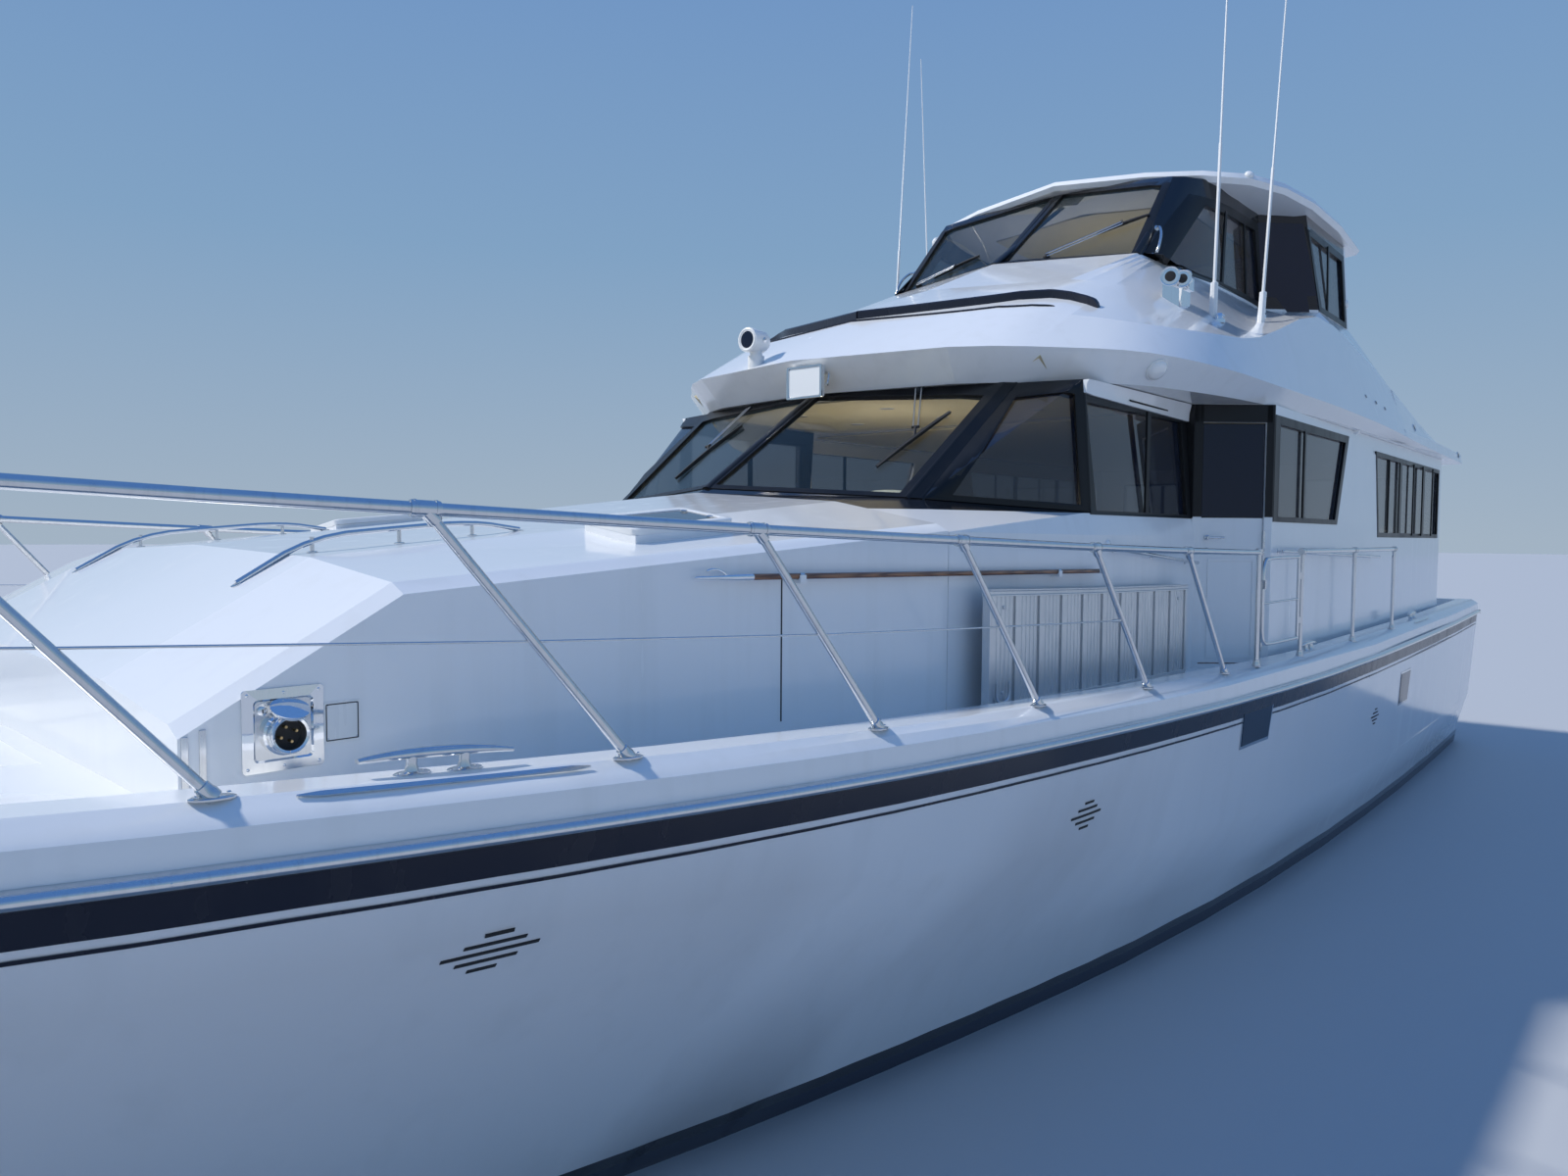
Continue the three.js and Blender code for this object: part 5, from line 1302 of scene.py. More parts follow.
def makeHullDetails():
    shape = Shape()
    tall = hullDetails["slotHalf"]
    for s, z in hullDetails["vents"]:
        for k, half in enumerate(hullDetails["slots"]):
            height = z + (2 - k) * hullDetails["slotPitch"]
            hullPatch(shape, [[(q, height + dz) for q in steps(s - half, s + half, 4)] for dz in (-tall, tall)],
                      hullDetails["slotThick"])
    buildPair(shape, "hullVents", "blackRubber")
    panes = Shape()
    for s0, s1, z0, z1, lean in hullDetails["windows"]:
        for grow, thick, mark in hullDetails["layers"]:
            rows = []
            for t in (0, 0.5, 1):
                slant, z = lean * (1 - t), mix(z0 - grow, z1 + grow, t)
                rows.append([(s, z) for s in steps(s0 - grow + slant, s1 + grow + slant * 0.3, 7)])
            hullPatch(panes, rows, thick, mark)
    buildPair(panes, "hullWindows", ["darkPanel", "stainless"], bevel=0.001)


# ends of each gripping panel, its inner edge, its distance in from the side, and its rows and columns
gripPanels = [(s0, s1, None, 0.34, 7, 4) for s0, s1 in
              ((5.3, 6.5), (6.58, 7.8), (7.88, 8.86), (12.9, 14.6), (14.7, 16.4), (16.5, 18.2), (18.3, 20.0))]
gripPanels += [(s0, s1, inside, 0.36, 6, 5) for s0, s1, inside in
               ((1.75, 2.7, 0.12), (2.78, 3.75, 0.05), (4.6, 4.98, 0.05))]


def houseSide(s):
    return 1.84 + 0.05 * (s - 5.3) / 3.4 if s < 9 else 2.46


def makeGrip():
    panels = Shape()
    for s0, s1, inside, inset, count, columns in gripPanels:
        edges = [(s, inside or houseSide(s), gunwale(s)[0] - inset) for s in steps(s0, s1, count)]
        rows = [[topOf("deck_moulding", s, y) for y in steps(a, b, columns)] for s, a, b in edges if b - a >= 0.06]
        if len(rows) > 1:
            panels.sheet(rows, 0.0022, lift=0.0004)
    buildPair(panels, "deckGrip", "deckGrip")


makeCleats()
makeInlet()
makeTrunkStrips()
for name, look in lids.items():
    makeLid(name, *look)
makeHandrails()
makeHullDetails()
makeGrip()
print("deck fittings made")


# Stowed gangway and boat hook

gangway = {
    "start": 8.95, "end": 11.8, "y": 2.065, "height": 0.67, "bays": 10, "rib": 0.04, "grooves": (0.052, 0.046, 5),
    "channel": 0.028, "flutes": ((0, 0.0135), (0.03, 0.0135), (0.034, 0.0045), (0.042, 0.0045)), "skin": 0.004,
    "bands": (0.03, 0.2, 0.45), "edge": 0.03, "ribHalf": (0.004, 0.0235), "rivets": (0.16, 0.1),
    "stand": ((0.05, 0.16), (0.05, 0.05), (-0.09, 0.05), (-0.09, 0.16)), "standAt": 0.12,
}
hook = {
    "start": (6.95, 1.868, 2.66), "end": (10.46, 2.025, 2.62), "clips": (7.6, 9.9), "clipHalf": 0.014,
    "pole": [(0.3, 0.0135), (0.36, 0.014), (3.44, 0.014), (3.5, 0.0138)], "poleEnd": (-0.012, 0.0138),
    "ferrule": ((-0.05, 0.0152), (-0.002, 0.0152), (0, 0.011)),
    "point": [(0.02, 0.0015), (0.03, 0.006), (0.12, 0.009), (0.3, 0.0148), (0.33, 0.0156), (0.35, 0.0144)],
    "curl": ((0.2, 0.008), (0.17, 0.028), (0.12, 0.036), (0.085, 0.026)),
    "clipArc": (-150, -110, -70, -30, 10, 50),
}


def makeGangway():
    s0, s1, y, height = (gangway[k] for k in ("start", "end", "y", "height"))
    shape = Shape()

    def floor(s):
        return topOf("deck_moulding", s, y - 0.03)[0].z

    for low, high in ((0.0006, 0.045), (height - 0.04, height)):
        channel = ((-1, low), (1, low), (1, low + 0.008), (0.75, low + 0.012), (0.75, high - 0.012),
                   (1, high - 0.008), (1, high), (-1, high))
        shape.loft([[at(s, y + a * gangway["channel"], floor(s) + b) for a, b in channel]
                    for s in steps(s0, s1, 8)])
    bays, rib, skin = gangway["bays"], gangway["rib"], gangway["skin"]
    pitch = (s1 - s0 - rib) / bays
    first, groove, count = gangway["grooves"]
    profile = []
    for start in (s0 + k * pitch for k in range(bays)):
        profile += [(start, skin), (start + rib, skin)]
        profile += [(start + first + g * groove + ds, d) for g in range(count) for ds, d in gangway["flutes"]]
    profile.append((s1, skin))
    ends = floor(s0), floor(s1)
    rings = []
    for lift in (*gangway["bands"], height - gangway["edge"]):
        rings.append([at(s, y + side * d, mix(*ends, (s - s0) / (s1 - s0)) + lift)
                      for side in (1, -1) for s, d in profile[::side]])
    shape.loft(rings)
    near, far = gangway["ribHalf"]
    for s in (s0 + k * pitch for k in range(bays + 1)):
        z = floor(s)
        for side in (-1, 1):
            low, high = z + gangway["edge"], z + height - gangway["edge"]
            shape.box(at(s + rib, y + side * near, low), at(s, y + side * far, high))
    inset, rise = gangway["rivets"]
    for s in (s0 + inset, s1 - inset):
        for lift in (rise, height - rise):
            rivet = [(0, 0.011), (0.005, 0.011), (0.007, 0.006)]
            shape.lathe(rivet, at(s, y + 0.014, floor(s) + lift), outboard, 12)
    s = s0 + gangway["standAt"]
    foot = at(s, y + 0.03, floor(s))
    shape.tube(rounded([foot + Vector((dx, 0, dz)) for dx, dz in gangway["stand"]]), 0.0075, 10)
    shape.build("gangwayBody", "aluminium", bevel=0.0012, angle=30, stands="gangway")


def makeHook():
    start, end = at(*hook["start"]), at(*hook["end"])
    length, way = (end - start).length, (end - start).normalized()
    shape = Shape()
    past, radius = hook["poleEnd"]
    shape.lathe([*hook["pole"], (length + past, radius)], start, way, 16)
    shape.lathe([(length + d, r) for d, r in hook["ferrule"]], start, way, 16, 1)
    shape.lathe(hook["point"], start, way, 18, 1)
    shape.tube(rounded([start + way * d + upward * rise for d, rise in hook["curl"]]), 0.0058, 10, 1)
    shape.build("boatHook", ["varnish", "chrome"], angle=45, stands="boat_hook")
    clips = Shape()
    arc = [math.radians(a) for a in hook["clipArc"]]
    for s in hook["clips"]:
        middle = start.lerp(end, (s - hook["start"][0]) / 3.51)
        ring = [middle + Vector((0, r * math.cos(a), r * math.sin(a)))
                for r, angles in ((0.021, arc), (0.0165, arc[::-1])) for a in angles]
        clips.loft([[p + way * d for p in ring] for d in (-hook["clipHalf"], hook["clipHalf"])])
    clips.build("hookClips", "stainless")


makeGangway()
makeHook()
print("gangway and boat hook made")


# Fittings on the bridge and the windshields

# path over the cowl as station and half-breadth, height and depth of the bead
stripes = (
    (((10.511, 0.0), (10.655, 0.39), (10.79, 0.733), (10.921, 1.066), (11.09, 1.29), (11.14, 1.46), (11.13, 1.66)),
     0.058, 0.02),
    (((10.426, 0.0), (10.551, 0.718), (10.733, 1.212), (10.885, 1.443)), 0.012, 0.01),
)


def makeStripe():
    shape = Shape()
    for places, tall, deep in stripes:
        path = rounded([topOf("bridge_moulding", *place)[0] for place in places], 3)
        last = len(path) - 1
        rings = []
        for i, p in enumerate(path):
            along = (path[min(i + 1, last)] - path[max(i - 1, 0)]).normalized()
            out = along.cross(upward).normalized()
            if out.x + out.y < 0:
                out = -out
            p = topOf("bridge_moulding", stationOf(p), p.y)[0]
            high = tall * math.sin(math.pi / 2 * max(min(1.0, (last - i) / 5), 0.12))
            section = ((1, -0.03), (1, high * 0.8), (0.4, high), (-1, high), (-2, -0.03))
            rings.append([p + out * deep * d + upward * rise for d, rise in section])
        shape.loft(rings)
    buildPair(shape, "cowlStripe", "stripe", angle=40)


# pivot, joint, both ends of the blade, the way the glass faces, and whether a washer hose shows
wipers = (
    ((10.122, 0.828, 3.83), (9.763, 1.051, 3.52), (9.414, 0.993, 3.263), (9.968, 1.181, 3.644),
     (0.6, 0.22, 0.77), True),
    ((10.09, -0.73, 3.81), (9.58, -0.66, 3.47), (9.8, -0.54, 3.65), (9.27, -0.7, 3.235),
     (0.6, -0.22, 0.77), False),
    ((12.725, 0.419, 5.329), (13.08, 0.97, 5.588), (12.987, 0.775, 5.52), (13.188, 1.162, 5.663),
     (0.72, 0.17, 0.67), False),
    ((12.861, -1.032, 5.318), (12.86, -0.6, 5.42), (12.86, -0.85, 5.36), (12.858, -0.343, 5.491),
     (0.72, -0.17, 0.67), False),
)
wiperSize = {
    "cap": [(-0.01, 0.03), (0.018, 0.03), (0.03, 0.022), (0.036, 0.009)],
    "arms": (0.02, 0.028, 0.016, 0.034, 0.0055), "joint": (0.026, 0.01),
    "blade": ((0.01, 0.012, 0.019, 0.012), (0.003, 0.001, 0.013, 0.0)),
    "hose": ((0.03, 0, 0.01), (0.035, 0.07, 0), (0.09, 0.09, 0), (0.125, 0.02, 0.02)),
}
bridgeHandle = {"low": (12.943, 1.297, 5.244), "high": (13.107, 1.259, 5.518), "face": (0.55, 0.8, 0.15)}


def addWiper(shape, pivot, joint, near, far, way, hose):
    way = Vector(way).normalized()
    pivot, joint, near, far = (at(*place) for place in (pivot, joint, near, far))
    across = (joint - pivot).cross(way).normalized()
    shape.lathe(wiperSize["cap"], pivot, way, 18)
    wide, low, narrow, high, radius = wiperSize["arms"]
    for side in (-1, 1):
        root, tip = pivot + across * wide * side + way * low, joint + across * narrow * side + way * high
        shape.rod(root, tip, radius, 10, 1)
    half, radius = wiperSize["joint"]
    shape.rod(joint - across * half + way * high, joint + across * half + way * high, radius, 12)
    shape.rod(joint + way * high, near.lerp(far, 0.5) + way * 0.02, radius, 10)
    side = (far - near).normalized().cross(way).normalized()
    for wide, low, high, arch in wiperSize["blade"]:
        rings = []
        for t in steps(0, 1, 13):
            p, bow = near.lerp(far, t), high + arch * (1 - (2 * t - 1) ** 2)
            corners = ((-1, low), (1, low), (1, bow), (-1, bow))
            rings.append([p + side * a * wide + way * b for a, b in corners])
        shape.loft(rings)
    if hose:
        loop = [pivot - across * d + upward * rise + way * out for d, rise, out in wiperSize["hose"]]
        shape.tube(rounded(loop), 0.006, 8)


def makeWipers():
    shape = Shape()
    for wiper in wipers:
        addWiper(shape, *wiper)
    shape.build("wipers", ["blackRubber", "stainless"], angle=40)
    handle = Shape()
    low, high = at(*bridgeHandle["low"]), at(*bridgeHandle["high"])
    out = Vector(bridgeHandle["face"]).normalized()
    bend = [low, low + out * 0.07, low.lerp(high, 0.6) + out * 0.1, high + out * 0.05, high]
    handle.tube(rounded(bend), 0.012, 12)
    for foot in (low, high):
        handle.lathe([(-0.01, 0.024), (0.006, 0.024), (0.009, 0.013)], foot, out, 16)
    buildPair(handle, "bridgeHandle", "stainless", angle=50)


floodlight = {
    "middle": (0.105, 3.92), "size": (0.16, 0.112, 0.012), "lens": (0.143, 0.098, 0.01), "lensAt": (9.751, 9.747),
    "body": ((9.752, 1.0), (9.775, 1.0), (9.79, 0.94), (9.85, 0.62), (9.862, 0.5)),
    "rim": ((9.752, 1.02), (9.742, 1.02), (9.742, 0.9), (9.752, 0.86)),
    "arm": ((9.8, 0.168, 3.9), (9.83, 0.168, 4.0)), "armHead": (9.86, 0.06, -0.012), "knob": (9.8, 0.164, 3.9),
    "socket": [(-0.002, 0.075), (0.012, 0.072), (0.022, 0.04), (0.024, 0.004)],
}
# moulding, place, the way the light faces and its size against the large ones
domes = (
    ("bridge_moulding", (11.012, 2.132, 3.965), (0.33, 0.71, -0.63), 1.0),
    ("bridge_moulding", (15.2, 2.35, 3.9), (0, 0.3, -0.95), 1.0),
    ("upper_house", (16.83, 1.895, 5.4), (0, 1, 0.02), 0.6),
    ("wheelhouse", (10.641, 1.985, 2.787), (0, 1, 0), 0.45),
    ("hardtop", (14.137, 1.694, 6.147), (0.64, 0.56, 0.52), 0.5),
)
domeBase = ((-0.02, 0.082), (0.01, 0.082), (0.014, 0.078))
domeLens = ((0.008, 0.074), (0.024, 0.068), (0.038, 0.045), (0.042, 0.006))
searchlight = {
    "face": (9.8, -0.5, 4.297), "pivot": (9.9, -0.5, 4.297), "pivotOut": 0.086,
    "rim": [(-0.03, 0.084), (0.001, 0.086), (0.004, 0.08), (0.001, 0.07), (-0.004, 0.069)],
    "lens": [(-0.006, 0.07), (-0.0005, 0.069), (0.0012, 0.05), (0.0018, 0.004)],
    "knob": [(-0.004, 0.018), (0.003, 0.018), (0.006, 0.012)],
}


def makeFloodlight():
    # hung under the brow
    middle, z = floodlight["middle"]
    wide, high, radius = floodlight["size"]

    def frameAt(s, half, tall, corner):
        return [at(s, middle + a, z + b) for a, b in roundedRect(half, tall, corner)]

    shape = Shape()
    shape.loft([frameAt(s, wide * grow, high * grow, radius) for s, grow in floodlight["body"]])
    shape.collar([frameAt(s, wide * grow, high * grow, radius) for s, grow in floodlight["rim"]], 2)
    shape.loft([frameAt(s, *floodlight["lens"]) for s in floodlight["lensAt"]], 1)
    s, inset, drop = floodlight["armHead"]
    top = probe("bridge_moulding", at(s, middle, 3.95), upward)[0]
    for side in (-1, 1):
        arm = [at(d, middle + side * out, rise) for d, out, rise in floodlight["arm"]]
        shape.tube(rounded([*arm, at(s, middle + side * inset, top.z + drop)]), 0.008, 10, 2)
        d, out, rise = floodlight["knob"]
        knob = [(-0.008, 0.014), (0.008, 0.014), (0.01, 0.01)]
        shape.lathe(knob, at(d, middle + side * out, rise), (0, side, 0), 14, 2)
    shape.lathe(floodlight["socket"], top, -upward, 24, 2)
    shape.build("floodlight", ["whitePaint", "lens", "stainless"], angle=40)


def makeLamps():
    # dome lights under the side decks, a small side lamp and the pillar lamps
    shape = Shape()
    for node, place, way, size in domes:
        way = Vector(way).normalized()
        p = probe(node, at(*place) + way * 0.1, -way)[0]
        for mark, profile in enumerate((domeBase, domeLens)):
            shape.lathe([(d * size, r * size) for d, r in profile], p, way, 26, mark)
        across = way.cross((1, 0.2, 0.3)).normalized()
        for side in (-1, 1):
            shape.stud(p + across * 0.078 * side * size + way * 0.011 * size, way, 0.005 * size, 0.002)
    buildPair(shape, "domeLights", ["whitePaint", "lens"], angle=40)
    head = Shape()
    centre = at(*searchlight["face"])
    head.lathe(searchlight["rim"], centre, forward, 30)
    head.lathe(searchlight["lens"], centre, forward, 30, 1)
    for side in (-1, 1):
        way = outboard * side
        head.lathe(searchlight["knob"], at(*searchlight["pivot"]) + way * searchlight["pivotOut"], way, 16, 2)
    head.build("searchlightFace", ["whitePaint", "darkPanel", "stainless"], "searchlight", angle=40)


# station, half-breadth and height of each horn's root, radius of its mouth and its length
horns = ((1.7525, 4.788, 0.07, 0.42), (1.8375, 4.776, 0.062, 0.34),
         (1.795, 4.827, 0.042, 0.26), (1.855, 4.827, 0.038, 0.22))
# profiles as distance out and share of the mouth's radius
hornSize = {
    "station": 12.3, "face": (1, 0.28, 0), "bandAt": 0.2, "band": ((-0.006, 0.62), (0.004, 0.64)),
    "lip": ((-0.012, 0.98), (0.002, 1.04), (0.007, 1.02), (0.006, 0.93), (0.0012, 0.9), (0.0008, 0.8)),
    "bowl": ((0.0006, 0.84), (0.0022, 0.82), (0.0034, 0.52)), "throat": ((0.0036, 0.56), (0.0042, 0.5)),
}


def makeHorns():
    shape = Shape()
    way = Vector(hornSize["face"]).normalized()
    for y, z, r, length in horns:
        mouth = at(hornSize["station"], y, z) + way * length
        shape.lathe([(d, r * share) for d, share in hornSize["lip"]], mouth, way, 30)
        shape.lathe([(d, r * share) for d, share in hornSize["bowl"]], mouth, way, 26)
        shape.lathe([(d, r * share) for d, share in hornSize["throat"]] + [(0.0046, 0.002)], mouth, way, 26, 1)
        back = mouth - way * length * hornSize["bandAt"]
        shape.lathe([(d, r * share) for d, share in hornSize["band"]], back, way, 20)
    shape.build("hornMouths", ["chrome", "blackRubber"], angle=40)


valance = {
    "foot": ((10.47, 3.775), (10.56, 3.765), (11.4, 3.745), (12.19, 3.73)), "wall": 3.83, "head": 3.86,
    "slotAt": 11.4, "slot": ((11.1, 3.79), (11.78, 3.782), (11.78, 3.77), (11.1, 3.778)), "slotOut": 0.031,
}
antennaFeet = {
    "places": ((12.398, 2.028), (13.762, 1.914)), "bolt": (-0.03, 0.04, 0.035),
    "profile": [(-0.02, 0.045), (0.008, 0.043), (0.014, 0.03), (0.05, 0.026), (0.056, 0.02)],
}
# station, height, half width and half height of each oval in the bridge's side
sideVents = ((15.15, 4.18, 0.045, 0.02), (15.55, 4.16, 0.045, 0.02), (15.95, 4.14, 0.045, 0.02),
             (17.9, 4.11, 0.09, 0.05), (20.7, 3.97, 0.09, 0.05))
ventRim, ventFill = ((1, -0.004), (1, 0.004), (0.8, 0.006), (0.76, 0.001)), ((0.78, -0.002), (0.78, 0.002))


def oval(wide, high):
    return [(wide * math.cos(a), high * math.sin(a)) for a in turns(24)]


def makeValance():
    # trim board along the head of the side glass, with its drain slot
    shape = Shape()
    rings = []
    for s, low in valance["foot"]:
        y, head = sideOf("wheelhouse", s, valance["wall"])[0].y, valance["head"]
        section = ((-0.01, low), (0.03, low), (0.034, low + 0.06), (0.05, head), (-0.01, head))
        rings.append([at(s, y + dy, z) for dy, z in section])
    shape.loft(rings)
    face = sideOf("wheelhouse", valance["slotAt"], valance["wall"])[0].y + valance["slotOut"]
    shape.slab([at(s, face, z) for s, z in valance["slot"]], (0, 0.008, 0), 1)
    buildPair(shape, "valance", ["gelcoat", "blackRubber"], bevel=0.003)
    mounts = Shape()
    inner, outer, rise = antennaFeet["bolt"]
    for s, y in antennaFeet["places"]:
        foot = topOf("bridge_moulding", s, y + 0.03)[0]
        mounts.lathe(antennaFeet["profile"], foot, upward, 20)
        mounts.rod(foot + Vector((0, inner, rise)), foot + Vector((0, outer, rise)), 0.008, 10)
    buildPair(mounts, "antennaFeet", "chrome", angle=40)
    ovals = Shape()
    for s, z, wide, high in sideVents:
        place, normal = sideOf("bridge_moulding", s, z)
        rim, fill = ([onPlate(place, normal, oval(wide * g, high * g), lift) for g, lift in rows]
                     for rows in (ventRim, ventFill))
        ovals.collar(rim)
        ovals.loft(fill, 1)
    buildPair(ovals, "sideVents", ["stainless", "blackRubber"], angle=40)


makeStripe()
makeWipers()
makeFloodlight()
makeLamps()
makeHorns()
makeValance()
print("bridge fittings made")


# Interior seen through the glass, and the stern

# linings as moulding, height of the rays, stations, half-breadth, columns and rows
interior = {
    "headliner": (("bridge_moulding", 3.3, 10.35, 12.3, 1.62, 12, 10),
                  ("bridge_moulding", 3.3, 12.6, 19.6, 2.1, 12, 10), ("hardtop", 5.6, 14.3, 16.6, 1.0, 8, 6)),
    "carpet": (("deck_moulding", 2.6, 10.4, 12.1, 1.5, 4, 6), ("deck_moulding", 2.6, 12.7, 19.5, 2.0, 4, 6)),
    "ceilingLights": [(s, y) for s in (10.9, 11.7) for y in (-0.9, 0, 0.9)],
    "cover": (9.9, 0.2, 0.3, 1.15), "coverEnds": 0.75, "coverFoot": 0.01, "coverRise": 0.13,
    "wheel": (10.42, 0.45, 2.86), "wheelFace": (-0.85, 0, 0.53), "wheelRadius": 0.2, "spokes": (0, 5, 11, 16, 22),
    "hub": [(-0.16, 0.02), (0.01, 0.035), (0.02, 0.03), (0.024, 0.01)],
    "seats": ((11.05, -0.55, 1.9), (11.05, 0.35, 1.9)),
    "post": [(0, 0.2), (0.02, 0.19), (0.04, 0.05), (0.62, 0.045)],
}
# sections as height, half depth, half breadth, corner radius and place aft of the post
helmSeat = [(z, w, 0.26, 0.07, 0) for z, w in ((0.6, 0.22), (0.62, 0.25), (0.7, 0.26), (0.74, 0.24))]
helmBack = [(z, 0.055, w, 0.05, aft)
            for z, w, aft in ((0.7, 0.22, 0.21), (0.78, 0.25, 0.22), (1.1, 0.25, 0.26), (1.2, 0.2, 0.27))]
settee = [(z, 0.45 * g, 0.36 * g, 0.05, 0) for z, g in ((0.3, 0.96), (0.33, 1), (0.42, 1), (0.45, 0.95))]
setteeBack = [(z, 0.44 * g, 0.07, 0.05, 0) for z, g in ((0.46, 0.96), (0.5, 1), (0.82, 1), (0.86, 0.94))]
tableTop = [(z, 0.55, 0.32, 0.08, 0) for z in (0.68, 0.685, 0.715, 0.72)]


def addLining(shape, area, direction, thick):
    node, z, s0, s1, wide, columns, rows = area
    shape.sheet([[probe(node, at(s, y, z), direction) for y in steps(-wide, wide, columns)]
                 for s in steps(s0, s1, rows)], thick, 0, 0.002)


def addCushion(shape, place, sections, mark):
    shape.loft([[place + Vector((-aft - a, b, z)) for a, b in roundedRect(deep, wide, radius)]
                for z, deep, wide, radius, aft in sections], mark)


def makeInterior():
    lining = Shape()
    for area in interior["headliner"]:
        addLining(lining, area, upward, 0.012)
    for s, y in interior["ceilingLights"]:
        place, way = probe("bridge_moulding", at(s, y, 3.3), upward)
        lining.lathe([(0.012, 0.06), (0.018, 0.06), (0.02, 0.045)], place, way, 20, 1)
    lining.build("headliner", ["headliner", "lens"], angle=40)
    cover = Shape()
    s, half, near, far = interior["cover"]
    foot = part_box("helm_console")[1][2] + 0.002
    rings = []
    for t in steps(0, 1, 13):
        lift = math.sin(math.pi * t) ** 0.5
        wide = half * mix(interior["coverEnds"], 1, lift)
        high = interior["coverFoot"] + interior["coverRise"] * lift
        rings.append([at(s - math.cos(a) * wide, mix(near, far, t), foot + math.sin(a) * high)
                      for a in steps(0, math.pi, 12)])
    cover.loft(rings)
    cover.build("consoleCover", "creamVinyl", angle=50)
    helm = Shape()
    wheel, way = at(*interior["wheel"]), Vector(interior["wheelFace"]).normalized()
    ring = ringAround(wheel, way, interior["wheelRadius"], 28)
    helm.tube(ring + [ring[0]], 0.013, 10)
    for k in interior["spokes"]:
        helm.rod(wheel, ring[k], 0.007, 8, 1)
    helm.lathe(interior["hub"], wheel, way, 20, 1)
    for place in interior["seats"]:
        base = at(*place)
        helm.lathe(interior["post"], base, upward, 20, 1)
        addCushion(helm, base, helmSeat, 2)
        addCushion(helm, base, helmBack, 2)
    helm.build("helm", ["varnish", "stainless", "creamVinyl"], bevel=0.004, angle=40)
    floor = Shape()
    for area in interior["carpet"]:
        addLining(floor, area, -upward, 0.01)
    floor.build("carpet", "carpet")


# boxes as stations, half-breadths, heights over the carpet and finish
salonBoxes = [((16.2, 13.2), (1.55, 2.05), (0, 0.78), 0), ((16.24, 13.16), (1.52, 2.08), (0.785, 0.82), 1),
              *(((13.79 + k * 0.58, 13.25 + k * 0.58), (1.532, 1.549), (0.1, 0.74), 0) for k in range(5)),
              ((17.4, 13.6), (-2.05, -1.3), (0, 0.3), 0)]


def makeSalon():
    # cabinets to port, settee and table to starboard
    shape = Shape()
    ground = probe("deck_moulding", at(15, 0, 2.8), -upward)[0].z + 0.015
    for k, ((s0, s1), (y0, y1), (z0, z1), mark) in enumerate(salonBoxes):
        shape.box(at(s0, y0, ground + z0), at(s1, y1, ground + z1), mark)
        if 2 <= k < 7:
            knob = at(s1 + 0.48, 1.532, ground + 0.45)
            shape.lathe([(0, 0.012), (0.02, 0.009), (0.025, 0.014)], knob, -outboard, 14, 2)
    for s in (14.08 + k * 0.94 for k in range(4)):
        addCushion(shape, at(s, -1.65, ground), settee, 3)
        addCushion(shape, at(s, -1.98, ground), setteeBack, 3)
    table = at(15.5, -0.8, ground)
    shape.lathe([(0, 0.2), (0.02, 0.19), (0.03, 0.04), (0.68, 0.035)], table, upward, 20, 2)
    addCushion(shape, table, tableTop, 1)
    shape.build("salonFurniture", ["joinery", "varnish", "chrome", "creamVinyl"], bevel=0.004, angle=40)


stern = {
    "boards": 14, "boardShare": (0.04, 0.96), "boardEnds": (0.06, 0.05), "boardHalf": 2.05, "taper": 0.5,
    "ladderY": (-0.82, -0.46), "ladderLift": 0.035, "rungs": (4, 0.2, 0.15), "windows": ((-1.9, -0.7), (0.7, 1.9)),
    "windowMiddle": 3.275, "windowHalf": 0.375, "pane": (-9.176, -9.168),
    "bar": ((-9.205, -9.16), 0.02, (2.93, 3.62)),
    "rim": ((0.05, -9.2004), (0.05, -9.208), (0.044, -9.212), (-0.022, -9.212), (-0.024, -9.15)),
    "doorPane": (0.27, 2.65, 3.5), "paneLayers": ((0.03, 0.006, 1), (0.0, 0.009, 0)), "handle": (0.33, 2.5),
    "handleOut": 0.045, "handleHigh": 0.2, "lamps": (1.3, 2.2), "lampHeight": 0.9,
}


def fromAstern(node, y, z):
    return probe(node, Vector((-12, y, z)), forward)


def makePlatform():
    low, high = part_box("swim_platform")
    teak = Shape()
    boards, (first, last) = stern["boards"], stern["boardEnds"]
    for k in range(boards):
        wide = stern["boardHalf"] - stern["taper"] * max(0, 0.2 - k / boards)
        ends = [mix(low[0] + first, high[0] - last, (k + share) / boards) for share in stern["boardShare"]]
        board = [[probe("swim_platform", Vector((x, y, 2)), -upward) for y in steps(-wide, wide, 9)] for x in ends]
        teak.sheet(board, 0.006, lift=0.0004)
    teak.build("platformTeak", "teak", bevel=0.001)
    ladder = Shape()
    near, far = stern["ladderY"]
    top = high[2] + stern["ladderLift"]
    for y in (near, far):
        path = [(low[0] + 0.08, y, high[2] + 0.008), (low[0] + 0.1, y, top), (high[0] - 0.2, y, top)]
        ladder.tube(rounded(path, 1), 0.0125, 12)
    count, first, pitch = stern["rungs"]
    for x in (low[0] + first + k * pitch for k in range(count)):
        ladder.rod((x, near, top), (x, far, top), 0.011, 12)
        ladder.box((x - 0.02, near + 0.02, top + 0.011), (x + 0.02, far - 0.02, top + 0.019), 1)
    ladder.build("swimLadder", ["stainless", "teak"], angle=50)


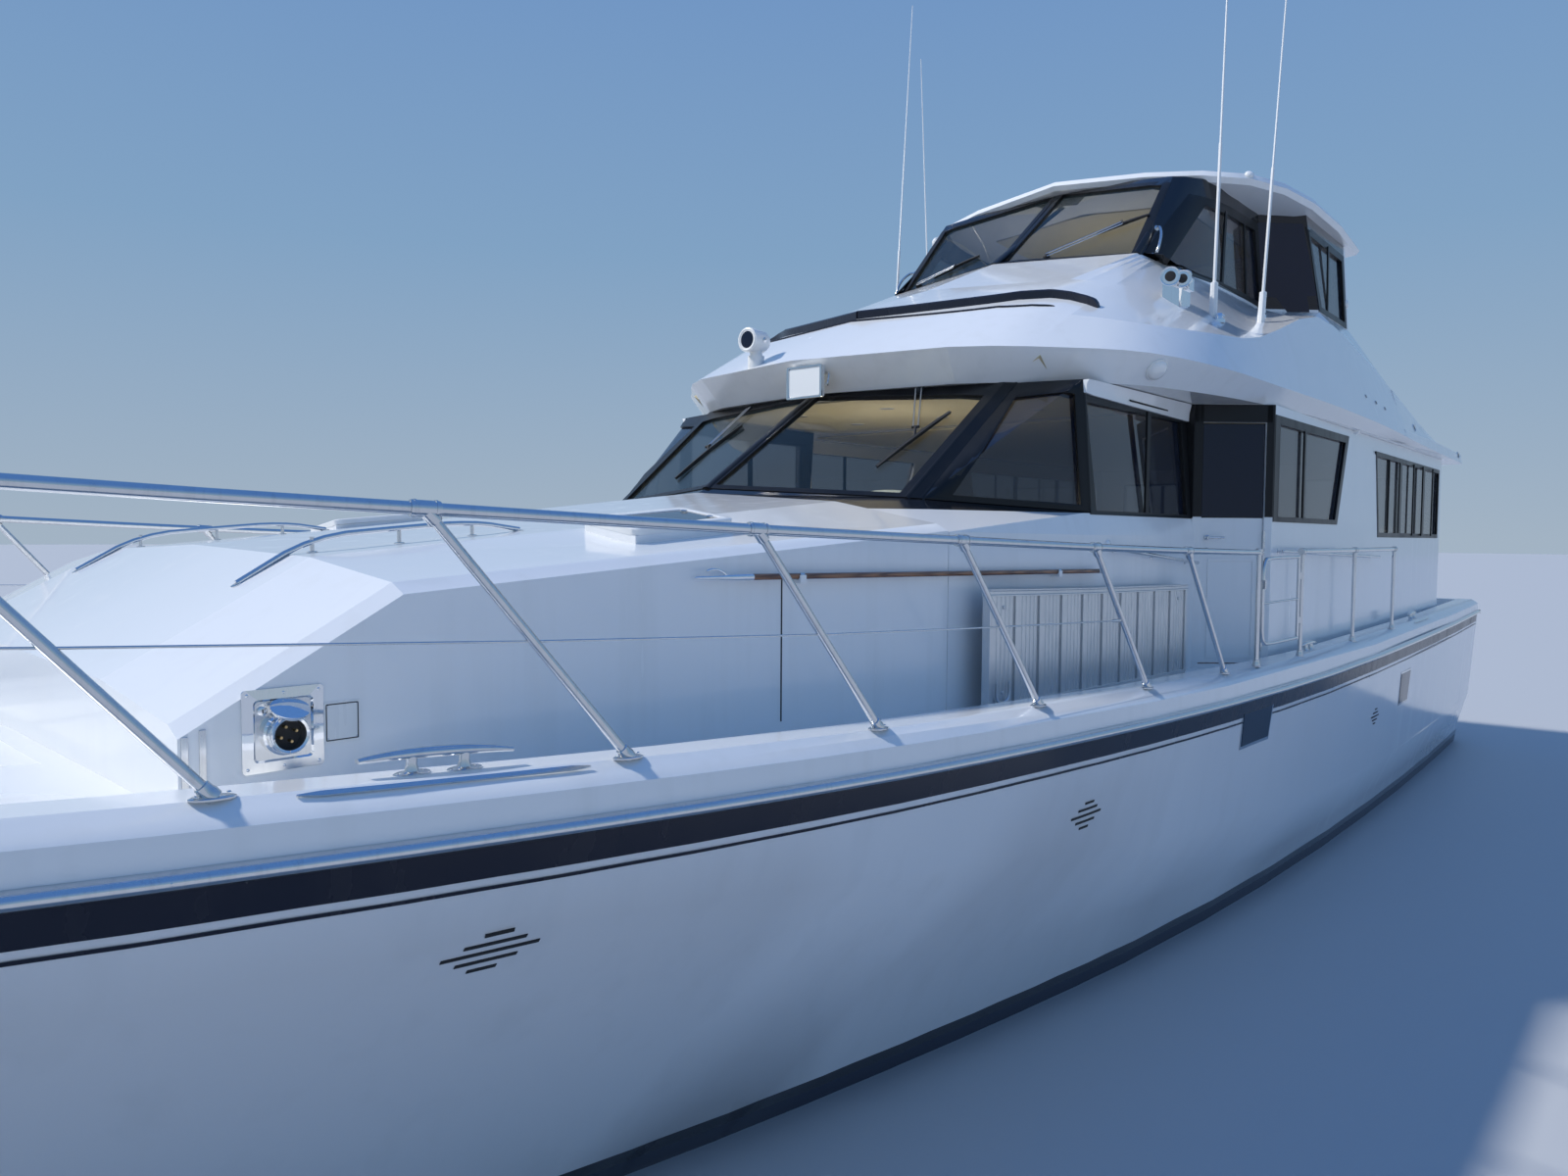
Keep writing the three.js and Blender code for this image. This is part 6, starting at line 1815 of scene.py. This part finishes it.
def makeStern():
    panes = Shape()
    middle, half = stern["windowMiddle"], stern["windowHalf"]
    (x0, x1), barHalf, (z0, z1) = stern["bar"]
    for y0, y1 in stern["windows"]:
        y, wide = (y0 + y1) / 2, (y1 - y0) / 2

        def rim(grow, x):
            return [Vector((x, y + a, middle + b)) for a, b in roundedRect(wide + grow, half + grow, 0.012)]

        panes.collar([rim(grow, x) for grow, x in stern["rim"]], 1)
        panes.loft([rim(-0.02, x) for x in stern["pane"]])
        panes.box((x0, y - barHalf, z0), (x1, y + barHalf, z1), 1)
    panes.build("aftWindows", ["smokedGlass", "blackFrame"])
    door = Shape()
    wide, foot, head = stern["doorPane"]
    for grow, thick, mark in stern["paneLayers"]:
        door.sheet([[fromAstern("aft_door", y, z) for y in steps(wide + grow, -wide - grow, 4)]
                    for z in steps(foot - grow, head + grow, 4)], thick, mark, 0.0004)
    handle = fromAstern("aft_door", *stern["handle"])[0]
    out, rise = -forward * stern["handleOut"], upward * stern["handleHigh"]
    door.tube(rounded([handle, handle + out, handle + out + rise, handle + rise]), 0.008, 12, 2)
    for foot in (handle, handle + rise):
        door.lathe([(-0.002, 0.02), (0.003, 0.02), (0.005, 0.012)], foot, -forward, 16, 2)
    door.build("aftDoorFittings", ["darkPanel", "blackFrame", "stainless"], "door_aft", angle=40)
    lights = Shape()
    for y in (side * y for side in (-1, 1) for y in stern["lamps"]):
        place = fromAstern("hull", y, stern["lampHeight"])
        lights.lathe([(-0.002, 0.05), (0.006, 0.048), (0.009, 0.035)], *place)
        lights.lathe([(0.004, 0.036), (0.012, 0.033), (0.016, 0.004)], *place, mark=1)
    lights.build("sternFittings", ["stainless", "amberLens"], angle=40)


windlass = {
    "station": 1.75, "bolts": (6, 0.132, 0.024), "chainStart": (0.09, 0.15), "chainEnd": (0.42, 0.3),
    "pitch": 0.036, "link": (0.026, 0.0135, 0.0045),
    "drum": [(-0.01, 0.15), (0.02, 0.148), (0.035, 0.12), (0.09, 0.11), (0.1, 0.085), (0.125, 0.075), (0.14, 0.08),
             (0.155, 0.1), (0.165, 0.1), (0.175, 0.06), (0.19, 0.055), (0.24, 0.05), (0.27, 0.06), (0.28, 0.055),
             (0.283, 0.004)],
}


def makeWindlass():
    foot = topOf("deck_moulding", windlass["station"], 0)[0]
    shape = Shape()
    shape.lathe(windlass["drum"], foot, upward, 32)
    count, out, rise = windlass["bolts"]
    for a in turns(count):
        shape.stud(foot + Vector((out * math.cos(a), out * math.sin(a), rise)), upward, 0.008, 0.005)
    ahead, rise = windlass["chainStart"]
    start = foot + Vector((ahead, 0, rise))
    s, rise = windlass["chainEnd"]
    end = at(s, 0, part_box("anchor")[0][2] + rise)
    way = (end - start).normalized()
    long, wide, radius = windlass["link"]
    count = int((end - start).length / windlass["pitch"])
    for k in range(count):
        p = start.lerp(end, (k + 0.5) / count)
        flat = outboard if k % 2 else way.cross(outboard).normalized()
        link = [p + way * long * math.cos(a) + flat * wide * math.sin(a) for a in steps(0, 2 * math.pi, 13)]
        shape.tube(link, radius, 6)
    shape.build("windlass", "stainless", angle=40)


makeInterior()
makeSalon()
makePlatform()
makeStern()
makeWindlass()
print("interior and stern made")
